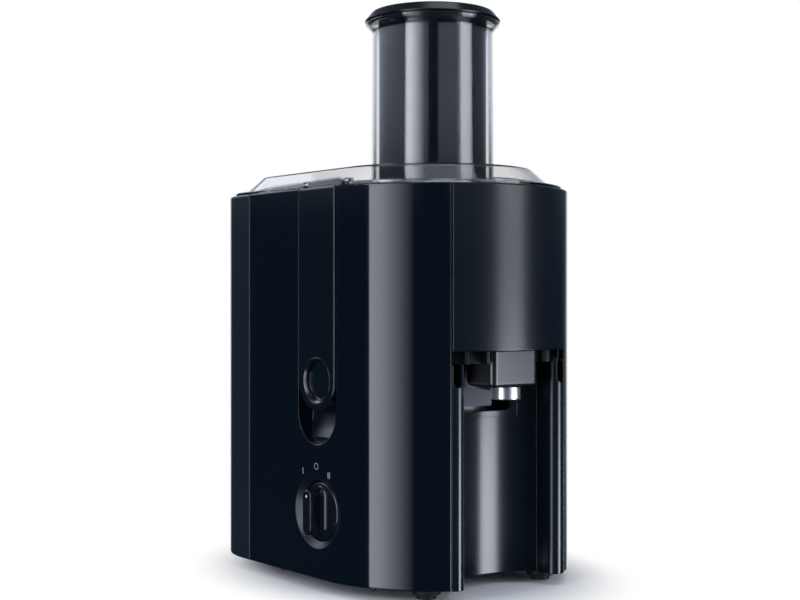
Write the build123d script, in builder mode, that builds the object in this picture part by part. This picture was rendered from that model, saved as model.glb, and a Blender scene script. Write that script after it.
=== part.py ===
from build123d import *
import os
from math import asin, cos, degrees, radians, sin

# Centrifugal juicer. Millimetres, +Z up, front towards -Y.
# The origin is on the worktop, on the axis that the motor, filter and feed chute share.

# Clearances
fit = 0.3
swing_fit = 0.6
run_fit = 0.05

# Body: half-round front, flat sides, rounded rear corners
foot_height = 8.0
body_height = 260.0
body_radius = 94.0
body_rear = 156.0
rear_corner = 55.0
shell_wall = 3.0
edge_round = 0.8

# Jug bay under the front panel
bay_half_width = 50.2
bay_radius = 57.0
bay_center_gap = 13.0
bay_wall = 3.0
window_half_width = 23.0
window_rise = 3.0
window_corner = 5.0
bead_width = 4.0
bead_height = 1.0
pilaster_width = 11.7
pilaster_round = 6.0
guide_notch_depth = 14.5
guide_notch_width = 7.0
guide_notch_inset = 4.7

# Base, feet and screws
base_thickness = 3.0
foot_upper_radius = 9.8
foot_lower_radius = 6.8
foot_lower_height = 3.2
foot_stem_radius = 3.0
foot_barb_radius = 4.2
foot_barb_height = 2.0
foot_points = [(-51, -55), (51, -55), (-50, 75), (50, 75)]
tongue_half_width = 65.0
tongue_rear = 140.0
vent_length = 34.0
vent_width = 4.0
vent_pitch = 9.0
vent_row_pitch = 41.0
vent_count = 6
screw_radius = 1.7
screw_head_radius = 3.5
screw_head_height = 2.2
screw_boss_radius = 4.5
screw_boss_height = 16.0
screw_tip_gap = 2.0
screw_boss_inset = 6.5
side_screw_y = 55.0
front_screw_angle = 65.0
post_radius = 5.0
post_inset = 26.0
post_rows = (-30.0, 70.0)

# Deck between the motor room and the juice room
deck_height = 107.0
deck_thickness = 3.0
turret_radius = 18.0
turret_bore_radius = 12.0
seal_height = 6.0
rear_wall_thickness = 3.0
rear_wall_gap = 2.5

# Clamps, their channels and finger pockets
clamp_y = 7.5
clamp_width = 40.6
clamp_thickness = 5.0
clamp_rise = 4.0
clamp_round = 0.7
clamp_arm_thickness = 2.8
finger_rim_radius = 15.0
finger_floor_radius = 12.6
finger_depth = 3.4
pocket_drop = 22.0
pocket_depth = 12.0
channel_wall = 2.2
knuckle_inset = 9.5
knuckle_radius = 2.2
clamp_pin_radius = 1.4
clamp_lug_length = 4.0

# Speed knob
dial_height = 44.6
dish_radius = 24.6
dish_depth = 3.4
well_depth = 6.6
dial_boss_radius = 27.0
dial_boss_depth = 9.0
knob_radius = 19.8
knob_sink = 3.2
knob_thickness = 3.0
knob_bar_length = 30.0
knob_bar_width = 9.6
knob_proud = 8.0
pointer_radius = 0.9
pointer_depth = 0.8
pointer_inset = 4.2
spindle_radius = 3.0
spindle_length = 19.0
switch_size = 26.0
switch_depth = 18.0

# Motor
bush_height = 9.0
bush_radius = 6.0
bush_circle = 36.0
bracket_thickness = 3.0
bracket_size = 84.0
bracket_corner = 14.0
bracket_floor_gap = 14.0
bearing_radius = 11.0
bearing_width = 7.0
bearing_seat_wall = 3.0
shaft_radius = 4.0
stator_size = 72.0
stator_corner = 12.0
stator_headroom = 18.0
stator_lift = 21.0
stator_bore_radius = 23.0
air_gap = 1.0
coil_inner_radius = 24.5
coil_outer_radius = 34.0
coil_height = 5.5
coil_span = 140.0
tie_offset = 29.0
tie_radius = 1.8
commutator_radius = 12.0
commutator_height = 14.0
commutator_lift = 4.0
winding_radius = 19.0
winding_height = 4.5
fan_radius = 33.0
fan_hub_radius = 10.0
fan_height = 8.0
fan_disc = 2.0
fan_blades = 9
fan_gap = 4.0
fan_blade_angle = 20.0
brush_width = 6.0
brush_height = 7.0
brush_length = 15.0
brush_holder_wall = 2.0
brush_holder_length = 18.0

# Juice bowl, front panel and spout
bowl_lift = 37.0
bowl_gap = 9.5
bowl_wall = 2.2
bowl_hub_radius = 19.5
bowl_hub_height = 18.0
bowl_skirt_radius = 44.0
bowl_rim_drop = 2.0
panel_wall = 2.5
panel_gap = 0.7
panel_rise = 8.0
panel_rib_angles = (-26, -17, 17, 26)
panel_rib_width = 2.0
pulp_sill_drop = 18.0
pulp_lip_reach = 7.0
pulp_exit_half_width = 58.0
spout_half_width = 20.3
spout_inset = 8.5
spout_depth = 25.5
spout_drop = 16.0
spout_wall = 2.5
spout_corner = 4.0
spout_round = 3.0
spout_bore_inset = 10.2
drain_length = 8.0
sleeve_radius = 9.8
sleeve_neck_radius = 6.0
sleeve_bore_radius = 4.4
sleeve_height = 8.0
sleeve_travel = 4.0
sleeve_lip = 2.0
sleeve_lip_width = 1.2

# Filter
coupling_radius = 13.0
coupling_height = 19.0
coupling_cap = 6.3
filter_taper = 16.5
filter_base_thickness = 4.0
filter_rim_gap = 10.0
filter_height = 58.0
filter_wall = 1.0
filter_slots = 24
filter_slot_width = 2.5
socket_wall = 3.5
labyrinth_gap = 2.4
labyrinth_wall = 2.0
grater_margin = 3.5
grater_thickness = 1.2
tooth_height = 1.6
tooth_rows = 4
teeth_per_row = 8
filter_rim_width = 5.0
filter_rim_height = 5.0

# Lid, feed chute and pusher
lid_flange_inset = 4.0
lid_flange_thickness = 2.2
lid_base_inset = 10.5
lid_top_inset = 24.0
lid_height = 14.2
lid_wall = 2.5
chute_radius = 43.0
chute_wall = 3.0
chute_draft = 0.8
chute_rise = 103.5
chute_lip_radius = 46.8
chute_lip_height = 6.0
chute_lip_edge = 0.8
chute_lip_wall = 2.4
chute_recess_depth = 1.6
chute_collar_radius = 45.5
chute_collar_height = 2.0
chute_floor_gap = 12.0
pusher_radius = 37.5
pusher_wall = 2.5
pusher_floor_gap = 14.0
pusher_cap_radius = 47.4
pusher_cap_height = 7.0
pusher_dome = 4.5
cap_toe = 1.4
cap_lean = 4.6
cap_round = 1.8
pusher_collar_radius = 43.7

# Pulp container
container_wall = 2.5
container_gap = 0.5

# Cord gland and electrics
gland_y = 70.0
gland_height = 30.0
gland_radius = 7.0
gland_flange_radius = 9.5
gland_flange = 1.5
cord_bore_radius = 3.6
board_width = 60.0
board_height = 44.0
board_thickness = 1.6
board_standoff = 4.5
board_lift = 30.0
capacitor_radius = 7.5
chip_width = 10.0
chip_height = 22.0
component_depth = 12.0
component_offset = 15.0
interlock_size = (6.0, 20.0, 9.0)

# Levels and places worked out from the sizes above
body_bottom = foot_height
body_top = body_bottom + body_height
base_top = body_bottom + base_thickness
deck_top = body_bottom + deck_height
deck_bottom = deck_top - deck_thickness
shell_inner = body_radius - shell_wall
screw_boss_reach = body_radius - screw_boss_inset
block_inset = shell_wall + fit
block_radius = body_radius - block_inset
bowl_radius = body_radius - bowl_gap
rear_wall_y = bowl_radius + rear_wall_gap
parting_y = rear_wall_y + rear_wall_thickness
post_reach = body_radius - post_inset
post_points = [(x, y) for y in post_rows for x in (-post_reach, post_reach)]
bay_center_y = -body_radius - bay_center_gap
edge_angle = degrees(asin(bay_half_width / body_radius))

clamp_end = deck_top + clamp_rise
clamp_half = clamp_width / 2
finger_center = clamp_end + clamp_half
channel_depth = clamp_thickness + swing_fit
channel_half = clamp_half + swing_fit
channel_end = clamp_end - pocket_drop
channel_center = channel_end + channel_half
boss_top = body_top - clamp_arm_thickness - swing_fit
scoop_radius = (pocket_depth**2 + pocket_drop**2) / (2 * pocket_depth)
pocket_face = body_radius - pocket_depth - channel_wall
pocket_low = channel_end - channel_wall
pocket_high = clamp_end + pocket_drop
knuckle_x = body_radius - knuckle_inset

dial_z = body_bottom + dial_height

bracket_top = deck_bottom - bush_height
bracket_bottom = bracket_top - bracket_thickness
lower_bracket_top = base_top + bracket_floor_gap
lower_bracket_bottom = lower_bracket_top - bracket_thickness
stator_bottom = lower_bracket_top + stator_lift
stator_top = bracket_bottom - stator_headroom
seat_radius = bearing_radius + bearing_seat_wall
seat_height = bearing_width + bearing_seat_wall / 2
shaft_bottom = lower_bracket_top - seat_height
bush_points = [(bush_circle, 0), (0, bush_circle), (-bush_circle, 0), (0, -bush_circle)]
tie_points = [(x * tie_offset, y * tie_offset) for x in (-1, 1) for y in (-1, 1)]

bowl_inner = bowl_radius - bowl_wall
bowl_bottom = deck_top + bowl_lift
bowl_floor = bowl_bottom + bowl_wall
bowl_top = body_top - bowl_rim_drop
bowl_hub_top = bowl_floor + bowl_hub_height
turret_top = bowl_hub_top - seal_height
panel_bottom = bowl_bottom + panel_rise
pulp_sill = body_top - pulp_sill_drop
spout_bottom = bowl_bottom - spout_drop
spout_floor = spout_bottom + spout_wall
spout_front = spout_inset - body_radius
spout_rear = spout_front + spout_depth
spout_y = spout_front + spout_bore_inset

rim_radius = bowl_inner - filter_rim_gap - filter_rim_width
filter_top_radius = rim_radius - fit - filter_wall
filter_base_radius = filter_top_radius - filter_taper
grater_radius = filter_base_radius - grater_margin
coupling_bottom = turret_top + 2 * fit
coupling_top = coupling_bottom + coupling_height
filter_bottom = coupling_top + fit
filter_floor = filter_bottom + filter_base_thickness
grater_top = filter_floor + grater_thickness
filter_top = filter_bottom + filter_height
shaft_top = coupling_top - coupling_cap

lid_seat = body_top + fit
lid_flange_top = lid_seat + lid_flange_thickness
lid_top = lid_seat + lid_height
knuckle_z = lid_seat + knuckle_radius + fit / 2
chute_bottom = grater_top + chute_floor_gap
chute_top = lid_top + chute_rise
chute_bore_radius = chute_radius - chute_wall
pusher_bottom = grater_top + tooth_height + pusher_floor_gap
cap_seat = chute_top + fit
cap_top = cap_seat + pusher_cap_height

LOW = (Align.CENTER, Align.CENTER, Align.MIN)
left_face = Plane(origin=(-body_radius, 0, 0), x_dir=(0, -1, 0), z_dir=(-1, 0, 0))


def body_plan(inset):
    """Plan of the whole body, drawn this far inside its outer surface."""
    half = body_radius - inset
    corner = rear_corner - inset
    corner_y = body_rear - rear_corner
    with BuildSketch() as plan:
        with BuildLine():
            CenterArc((0, 0), half, 180, 180)
            Line((half, 0), (half, corner_y))
            CenterArc((half - corner, corner_y), corner, 0, 90)
            Line((half - corner, corner_y + corner), (corner - half, corner_y + corner))
            CenterArc((corner - half, corner_y), corner, 90, 90)
            Line((-half, corner_y), (-half, 0))
        make_face()
    return plan.sketch


def turned(points):
    """Solid of revolution about Z through (radius, height) points."""
    with BuildPart() as solid:
        with BuildSketch(Plane.XZ):
            with BuildLine():
                Polyline(*points, close=True)
            make_face()
        revolve(axis=Axis.Z)
    return solid.part


def tube(outer, inner, low, high):
    """Plain ring about Z."""
    with BuildPart() as solid:
        with BuildSketch(Plane.XY.offset(low)):
            Circle(outer)
            Circle(inner, mode=Mode.SUBTRACT)
        extrude(amount=high - low)
    return solid.part


def screws(points, head_end, head_seat, tip, shank_radius=screw_radius):
    """A group of pan-head screws along Z, one at each point."""
    with BuildPart() as group:
        with Locations(*[(x, y, min(head_end, head_seat)) for x, y in points]):
            Cylinder(screw_head_radius, abs(head_seat - head_end), align=LOW)
        with Locations(*[(x, y, min(tip, head_seat)) for x, y in points]):
            Cylinder(shank_radius, abs(tip - head_seat), align=LOW)
    return group.part


def save(piece, name):
    """Label a finished piece and write it."""
    piece.label = name
    export_step(piece, f"parts/{name}.step")


outer_plan = body_plan(0)
block_plan = body_plan(block_inset)

# Base plate: flat tray with posts for the deck, and a tongue that carries the pulp container
shell_screw_points = [
    (side * x, y)
    for side in (-1, 1)
    for x, y in (
        (screw_boss_reach, side_screw_y),
        (
            screw_boss_reach * sin(radians(front_screw_angle)),
            -screw_boss_reach * cos(radians(front_screw_angle)),
        ),
    )
]
with BuildPart() as base_plate:
    with BuildSketch(Plane.XY.offset(body_bottom)):
        add(block_plan)
        with Locations((0, parting_y)):
            Rectangle(2 * body_radius, body_rear, align=(Align.CENTER, Align.MIN), mode=Mode.SUBTRACT)
        Rectangle(2 * tongue_half_width, tongue_rear, align=(Align.CENTER, Align.MIN))
        with Locations((0, bay_center_y)):
            Circle(bay_radius + bay_wall + fit, mode=Mode.SUBTRACT)
        with Locations(*foot_points):
            Circle(foot_stem_radius + fit, mode=Mode.SUBTRACT)
        with Locations(*shell_screw_points):
            Circle(screw_radius + fit, mode=Mode.SUBTRACT)
        with GridLocations(vent_row_pitch, vent_pitch, 2, vent_count):
            SlotOverall(vent_length, vent_width, mode=Mode.SUBTRACT)
    extrude(amount=base_thickness)
    with BuildSketch(Plane.XY.offset(base_top)):
        with Locations(*post_points):
            Circle(post_radius)
    extrude(amount=deck_bottom - base_top)
    with BuildSketch(Plane.XY.offset(deck_bottom)):
        with Locations(*post_points):
            Circle(screw_radius + run_fit)
    extrude(amount=-screw_boss_height, mode=Mode.SUBTRACT)
save(base_plate.part, "base_plate")

with BuildPart() as rubber_feet:
    with Locations(*[(x, y, 0) for x, y in foot_points]):
        Cylinder(foot_lower_radius, foot_lower_height, align=LOW)
    with Locations(*[(x, y, foot_lower_height) for x, y in foot_points]):
        Cylinder(foot_upper_radius, foot_height - foot_lower_height, align=LOW)
    with Locations(*[(x, y, body_bottom) for x, y in foot_points]):
        Cylinder(foot_stem_radius, base_thickness + foot_barb_height, align=LOW)
    with Locations(*[(x, y, base_top + fit) for x, y in foot_points]):
        Cylinder(foot_barb_radius, foot_barb_height - fit, align=LOW)
save(rubber_feet.part, "rubber_feet")

# Side shells: thin glossy skins with a clamp channel, made left-handed and mirrored
with BuildPart() as finger_scoop:
    with BuildSketch(left_face):
        with Locations((-clamp_y, channel_center)):
            Circle(channel_half)
            Rectangle(2 * channel_half, pocket_high - channel_center, align=(Align.CENTER, Align.MIN))
    extrude(amount=-pocket_depth)
    with Locations((pocket_depth - body_radius - scoop_radius, clamp_y, clamp_end)):
        Cylinder(scoop_radius, body_radius, rotation=(90, 0, 0), mode=Mode.INTERSECT)

with BuildPart() as shell_blank:
    with BuildSketch(Plane.XY.offset(body_bottom)):
        with BuildLine():
            outer = CenterArc((0, 0), body_radius, 180, 90 - edge_angle)
            inner = CenterArc((0, 0), shell_inner, 180, 90 - edge_angle)
            Line(outer @ 1, inner @ 1)
            Polyline(outer @ 0, (-body_radius, parting_y), (-shell_inner, parting_y), inner @ 0)
        make_face()
    extrude(amount=body_height)
    skin = shell_blank.faces().filter_by(GeomType.CYLINDER).sort_by(SortBy.AREA)[-1]
    flat = shell_blank.faces().filter_by(Axis.X).sort_by(Axis.X)[0]
    seam = Vector(-body_radius, 0, body_bottom + body_height / 2)
    outline = [e for e in skin.edges() + flat.edges() if (e.center() - seam).length > fit]
    fillet(outline, edge_round)
    with Locations((-shell_inner - fit, clamp_y, pocket_low)):
        Box(
            shell_inner + fit - (body_radius - channel_depth - channel_wall),
            2 * (channel_half + channel_wall),
            boss_top - pocket_low,
            align=(Align.MIN, Align.CENTER, Align.MIN),
        )
        Box(
            shell_inner + fit - pocket_face,
            2 * (channel_half + channel_wall),
            pocket_high - pocket_low,
            align=(Align.MIN, Align.CENTER, Align.MIN),
        )
    with BuildSketch(left_face):
        with Locations((-clamp_y, channel_center)):
            Circle(channel_half)
            Rectangle(2 * channel_half, body_top + fit - channel_center, align=(Align.CENTER, Align.MIN))
    extrude(amount=-channel_depth, mode=Mode.SUBTRACT)
    add(finger_scoop.part, mode=Mode.SUBTRACT)
    with Locations(*[(x, y, base_top) for x, y in shell_screw_points if x < 0]):
        Cylinder(screw_boss_radius, screw_boss_height, align=LOW)
        Cylinder(screw_radius + run_fit, screw_boss_height, align=LOW, mode=Mode.SUBTRACT)

with BuildPart() as left_side_shell:
    add(shell_blank.part)
    with Locations((-shell_inner - fit, clamp_y, dial_z)):
        Cylinder(
            dial_boss_radius, dial_boss_depth - shell_wall + fit, rotation=(0, 90, 0), align=LOW
        )
    with Locations((-body_radius, clamp_y, dial_z)):
        Cone(
            dish_radius, knob_radius + fit, dish_depth, rotation=(0, 90, 0), align=LOW, mode=Mode.SUBTRACT
        )
        Cylinder(knob_radius + fit, well_depth, rotation=(0, 90, 0), align=LOW, mode=Mode.SUBTRACT)
        Cylinder(spindle_radius + fit, dial_boss_depth, rotation=(0, 90, 0), align=LOW, mode=Mode.SUBTRACT)
save(left_side_shell.part, "left_side_shell")

with BuildPart() as right_side_shell:
    mirror(shell_blank.part, about=Plane.YZ)
    with Locations((shell_inner - fit, gland_y, gland_height)):
        Cylinder(
            gland_radius + run_fit, 2 * shell_wall, rotation=(0, 90, 0), align=LOW, mode=Mode.SUBTRACT
        )
save(right_side_shell.part, "right_side_shell")

shell_screws = screws(
    shell_screw_points,
    body_bottom - screw_head_height,
    body_bottom,
    base_top + screw_boss_height - screw_tip_gap,
)
save(shell_screws, "shell_screws")

# Jug recess wall: a concave screen between two rounded pilasters, with a beaded window above
wall_top = bowl_bottom - fit
window_sill = deck_top + window_rise
pilaster_inner = bay_half_width - pilaster_width
pilaster_root = bay_center_y + ((bay_radius + bay_wall / 2) ** 2 - pilaster_inner**2) ** 0.5
pilaster_face = body_radius - fit
round_x = pilaster_inner + pilaster_round
round_y = -(((pilaster_face - pilaster_round) ** 2 - round_x**2) ** 0.5)
round_angle = degrees(asin(round_x / (pilaster_face - pilaster_round)))
edge_gap_angle = degrees(fit / (block_radius - fit))
pilaster_sweep = edge_angle - edge_gap_angle - round_angle
with BuildPart() as window_bead:
    with BuildSketch(Plane.XY.offset(body_bottom)):
        with Locations((0, bay_center_y)):
            Circle(bay_radius + bay_wall)
            Circle(bay_radius - bead_height, mode=Mode.SUBTRACT)
        Circle(block_radius, mode=Mode.INTERSECT)
    extrude(amount=wall_top - body_bottom)
    with BuildSketch(Plane.XZ):
        with Locations((0, window_sill - bead_width)):
            Rectangle(
                2 * (window_half_width + bead_width), body_height, align=(Align.CENTER, Align.MIN)
            )
    extrude(amount=body_radius, mode=Mode.INTERSECT)

with BuildPart() as jug_recess_wall:
    with BuildSketch(Plane.XY.offset(body_bottom)):
        with Locations((0, bay_center_y)):
            Circle(bay_radius + bay_wall)
            Circle(bay_radius, mode=Mode.SUBTRACT)
        Circle(block_radius, mode=Mode.INTERSECT)
        with BuildLine():
            bend = CenterArc((round_x, round_y), pilaster_round, 180, 90 + round_angle)
            brow = CenterArc((0, 0), pilaster_face, round_angle - 90, pilaster_sweep)
            heel = (brow @ 1) * ((block_radius - fit) / pilaster_face)
            Polyline(brow @ 1, heel, (pilaster_inner, pilaster_root), bend @ 0)
        pilaster = make_face()
        mirror(pilaster, about=Plane.YZ)
    extrude(amount=wall_top - body_bottom)
    add(window_bead.part)
    with BuildSketch(Plane.XZ) as window:
        with Locations((0, window_sill)):
            Rectangle(2 * window_half_width, body_height, align=(Align.CENTER, Align.MIN))
        fillet(window.vertices().group_by(Axis.Y)[0], window_corner)
    extrude(amount=body_radius, mode=Mode.SUBTRACT)
    with BuildSketch(Plane.XZ) as notch:
        with Locations((guide_notch_inset - bay_half_width, wall_top - guide_notch_depth)):
            Rectangle(guide_notch_width, body_height, align=(Align.CENTER, Align.MIN))
        with Locations((bay_half_width - guide_notch_inset, wall_top - guide_notch_depth)):
            Rectangle(guide_notch_width, body_height, align=(Align.CENTER, Align.MIN))
        fillet(notch.vertices().group_by(Axis.Y)[0], guide_notch_width / 2 - run_fit)
    extrude(amount=body_radius, mode=Mode.SUBTRACT)
save(jug_recess_wall.part, "jug_recess_wall")

# Rear wall of the motor block, with standoffs for the circuit board
board_z = base_top + board_lift + board_height / 2
board_y = rear_wall_y - board_standoff
with BuildPart() as rear_wall:
    with BuildSketch(Plane.XY.offset(base_top)):
        with Locations((0, rear_wall_y)):
            Rectangle(2 * block_radius, rear_wall_thickness, align=(Align.CENTER, Align.MIN))
    extrude(amount=pulp_sill - bowl_wall - fit - base_top)
    with BuildSketch(Plane.XZ.offset(-rear_wall_y)):
        with Locations((0, board_z)):
            with GridLocations(board_width - 2 * post_radius, board_height - 2 * post_radius, 2, 2):
                Circle(screw_head_radius)
    extrude(amount=board_standoff)
save(rear_wall.part, "rear_wall")

# Top deck: carries the motor below and the juice bowl above, with a turret round the shaft
with BuildPart() as top_deck:
    with BuildSketch(Plane.XY.offset(deck_bottom)):
        add(block_plan)
        with Locations((0, rear_wall_y - fit)):
            Rectangle(2 * body_radius, body_rear, align=(Align.CENTER, Align.MIN), mode=Mode.SUBTRACT)
        with Locations((0, bay_center_y)):
            Circle(bay_radius + bay_wall + fit, mode=Mode.SUBTRACT)
        with Locations((-body_radius, clamp_y), (body_radius, clamp_y)):
            Rectangle(
                2 * (body_radius - pocket_face + fit),
                2 * (channel_half + channel_wall + fit),
                mode=Mode.SUBTRACT,
            )
        with Locations(*post_points):
            Circle(screw_radius + fit, mode=Mode.SUBTRACT)
        with Locations(*bush_points):
            Circle(screw_radius + fit, mode=Mode.SUBTRACT)
    extrude(amount=deck_thickness)
    with BuildSketch(Plane.XY.offset(deck_bottom)):
        Circle(turret_radius)
    extrude(amount=turret_top - deck_bottom)
    with BuildSketch(Plane.XY.offset(deck_bottom)):
        Circle(turret_bore_radius)
    extrude(amount=turret_top - deck_bottom, mode=Mode.SUBTRACT)
save(top_deck.part, "top_deck")

deck_screw_tip = deck_bottom - screw_boss_height + screw_tip_gap
save(screws(post_points, deck_top + screw_head_height, deck_top, deck_screw_tip), "deck_screws")
save(
    tube(turret_bore_radius - run_fit, shaft_radius + run_fit, turret_top - seal_height, turret_top),
    "shaft_seal",
)

# Motor: brackets, bearings, stator and brush gear hang from the deck on rubber bushes
with BuildPart() as motor_upper_bracket:
    with BuildSketch(Plane.XY.offset(bracket_bottom)):
        RectangleRounded(bracket_size, bracket_size, bracket_corner)
        with Locations(*bush_points):
            Circle(screw_radius + run_fit, mode=Mode.SUBTRACT)
        with Locations(*tie_points):
            Circle(tie_radius + fit, mode=Mode.SUBTRACT)
    extrude(amount=bracket_thickness)
    with BuildSketch(Plane.XY.offset(bracket_bottom)):
        Circle(seat_radius)
    extrude(amount=seat_height)
    with BuildSketch(Plane.XY.offset(bracket_bottom)):
        Circle(bearing_radius + run_fit)
    extrude(amount=bearing_width, mode=Mode.SUBTRACT)
    with BuildSketch(Plane.XY.offset(bracket_bottom)):
        Circle(shaft_radius + bearing_seat_wall)
    extrude(amount=seat_height, mode=Mode.SUBTRACT)
save(motor_upper_bracket.part, "motor_upper_bracket")

commutator_bottom = lower_bracket_top + commutator_lift
commutator_top = commutator_bottom + commutator_height
brush_z = (commutator_bottom + commutator_top) / 2
holder_low = brush_z - brush_height / 2 - brush_holder_wall
holder_x = commutator_radius + 2 * fit + brush_holder_wall
with BuildPart() as motor_lower_bracket:
    with BuildSketch(Plane.XY.offset(lower_bracket_bottom)):
        RectangleRounded(bracket_size, bracket_size, bracket_corner)
        with Locations(*tie_points):
            Circle(tie_radius + fit, mode=Mode.SUBTRACT)
    extrude(amount=bracket_thickness)
    with BuildSketch(Plane.XY.offset(lower_bracket_top)):
        Circle(seat_radius)
    extrude(amount=-seat_height)
    with BuildSketch(Plane.XY.offset(lower_bracket_top)):
        Circle(bearing_radius + run_fit)
    extrude(amount=-bearing_width, mode=Mode.SUBTRACT)
    with BuildSketch(Plane.XY.offset(lower_bracket_top)):
        Circle(shaft_radius + bearing_seat_wall)
    extrude(amount=-seat_height, mode=Mode.SUBTRACT)
    with BuildSketch(Plane.XY.offset(lower_bracket_top)):
        with Locations(*[(side * (holder_x + brush_holder_length / 2), 0) for side in (-1, 1)]):
            Rectangle(brush_holder_length / 2, brush_width)
    extrude(amount=holder_low - lower_bracket_top)
save(motor_lower_bracket.part, "motor_lower_bracket")

save(
    tube(bearing_radius, shaft_radius + run_fit, bracket_bottom, bracket_bottom + bearing_width),
    "upper_bearing",
)
save(
    tube(bearing_radius, shaft_radius + run_fit, lower_bracket_top - bearing_width, lower_bracket_top),
    "lower_bearing",
)

with BuildPart() as stator_core:
    with BuildSketch(Plane.XY.offset(stator_bottom)):
        RectangleRounded(stator_size, stator_size, stator_corner)
        Circle(stator_bore_radius, mode=Mode.SUBTRACT)
        with Locations(*tie_points):
            Circle(tie_radius + run_fit, mode=Mode.SUBTRACT)
    extrude(amount=stator_top - stator_bottom)
save(stator_core.part, "stator_core")

with BuildPart() as field_coils:
    for low in (stator_bottom - coil_height, stator_top):
        with BuildSketch(Plane.XY.offset(low)):
            for start in (90, 270):
                with BuildLine():
                    ring = CenterArc((0, 0), coil_outer_radius, start - coil_span / 2, coil_span)
                    bore = CenterArc((0, 0), coil_inner_radius, start - coil_span / 2, coil_span)
                    Line(ring @ 0, bore @ 0)
                    Line(ring @ 1, bore @ 1)
                make_face()
        extrude(amount=coil_height)
save(field_coils.part, "field_coils")

tie_head_end = lower_bracket_bottom - screw_head_height
save(
    screws(tie_points, tie_head_end, lower_bracket_bottom, bracket_top, tie_radius),
    "motor_tie_screws",
)

with BuildPart() as motor_bushes:
    with BuildSketch(Plane.XY.offset(bracket_top)):
        with Locations(*bush_points):
            Circle(bush_radius)
            Circle(screw_radius + fit, mode=Mode.SUBTRACT)
    extrude(amount=bush_height)
save(motor_bushes.part, "motor_bushes")
save(screws(bush_points, deck_top + screw_head_height, deck_top, bracket_bottom), "motor_mount_screws")

with BuildPart() as brush_holders:
    with BuildSketch(Plane.YZ.offset(holder_x)):
        with Locations((0, brush_z)):
            Rectangle(brush_width + 2 * brush_holder_wall, brush_height + 2 * brush_holder_wall)
            Rectangle(brush_width + 2 * fit, brush_height + 2 * fit, mode=Mode.SUBTRACT)
    extrude(amount=brush_holder_length)
    mirror(about=Plane.YZ)
save(brush_holders.part, "brush_holders")

with BuildPart() as carbon_brushes:
    with BuildSketch(Plane.YZ.offset(commutator_radius + fit)):
        with Locations((0, brush_z)):
            Rectangle(brush_width, brush_height)
    extrude(amount=brush_length)
    mirror(about=Plane.YZ)
save(carbon_brushes.part, "carbon_brushes")

# Rotor: everything that turns with the motor shaft
with BuildPart() as motor_shaft:
    with Locations((0, 0, shaft_bottom)):
        Cylinder(shaft_radius, shaft_top - shaft_bottom, align=LOW)
save(motor_shaft.part, "motor_shaft")

bore_radius = shaft_radius + run_fit
core_low = stator_bottom + winding_height / 2
core_high = stator_top - winding_height / 2
save(tube(stator_bore_radius - air_gap, bore_radius, core_low, core_high), "armature_core")
with BuildPart() as armature_windings:
    for low in (core_low - winding_height, core_high):
        with BuildSketch(Plane.XY.offset(low)):
            Circle(winding_radius)
            Circle(bore_radius, mode=Mode.SUBTRACT)
        extrude(amount=winding_height)
save(armature_windings.part, "armature_windings")
save(tube(commutator_radius, bore_radius, commutator_bottom, commutator_top), "commutator")

fan_top = bracket_bottom - fan_gap
fan_bottom = fan_top - fan_height
with BuildPart() as cooling_fan:
    with BuildSketch(Plane.XY.offset(fan_bottom)):
        Circle(fan_radius)
    extrude(amount=fan_disc)
    with BuildSketch(Plane.XY.offset(fan_bottom)):
        Circle(fan_hub_radius)
        with PolarLocations((fan_hub_radius + fan_radius) / 2, fan_blades):
            Rectangle(fan_radius - fan_hub_radius + fan_disc / 2, fan_disc, rotation=fan_blade_angle)
        Circle(fan_radius, mode=Mode.INTERSECT)
    extrude(amount=fan_height)
    with BuildSketch(Plane.XY.offset(fan_bottom)):
        Circle(bore_radius)
    extrude(amount=fan_height, mode=Mode.SUBTRACT)
save(cooling_fan.part, "cooling_fan")

with BuildPart() as drive_coupling:
    with BuildSketch(Plane.XY.offset(coupling_bottom)):
        RegularPolygon(coupling_radius, 6)
    extrude(amount=coupling_height)
    with BuildSketch(Plane.XY.offset(coupling_bottom)):
        Circle(bore_radius)
    extrude(amount=shaft_top - coupling_bottom, mode=Mode.SUBTRACT)
save(drive_coupling.part, "drive_coupling")

# Speed knob, its spindle and the switch behind it
with BuildPart() as speed_knob:
    with BuildSketch(left_face.offset(-knob_sink)):
        with Locations((-clamp_y, dial_z)):
            Circle(knob_radius)
    extrude(amount=-knob_thickness)
    with BuildSketch(left_face.offset(-knob_sink)):
        with Locations((-clamp_y, dial_z)):
            SlotOverall(knob_bar_length, knob_bar_width, rotation=90)
    extrude(amount=knob_sink + knob_proud)
    fillet(speed_knob.faces().sort_by(Axis.X)[0].edges(), edge_round)
    with BuildSketch(left_face.offset(knob_proud)):
        with Locations((-clamp_y, dial_z + knob_bar_length / 2 - pointer_inset)):
            Circle(pointer_radius + run_fit)
    extrude(amount=-pointer_depth, mode=Mode.SUBTRACT)
save(speed_knob.part, "speed_knob")

with BuildPart() as knob_pointer:
    with BuildSketch(left_face.offset(knob_proud)):
        with Locations((-clamp_y, dial_z + knob_bar_length / 2 - pointer_inset)):
            Circle(pointer_radius)
    extrude(amount=-pointer_depth)
save(knob_pointer.part, "knob_pointer")

with BuildPart() as knob_spindle:
    with BuildSketch(left_face.offset(-knob_sink - knob_thickness)):
        with Locations((-clamp_y, dial_z)):
            Circle(spindle_radius)
    extrude(amount=-spindle_length)
save(knob_spindle.part, "knob_spindle")

with BuildPart() as rotary_switch:
    with BuildSketch(left_face.offset(-dial_boss_depth)):
        with Locations((-clamp_y, dial_z)):
            RectangleRounded(switch_size, switch_size, edge_round)
            Circle(spindle_radius + run_fit, mode=Mode.SUBTRACT)
    extrude(amount=-switch_depth)
save(rotary_switch.part, "rotary_switch")

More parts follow.
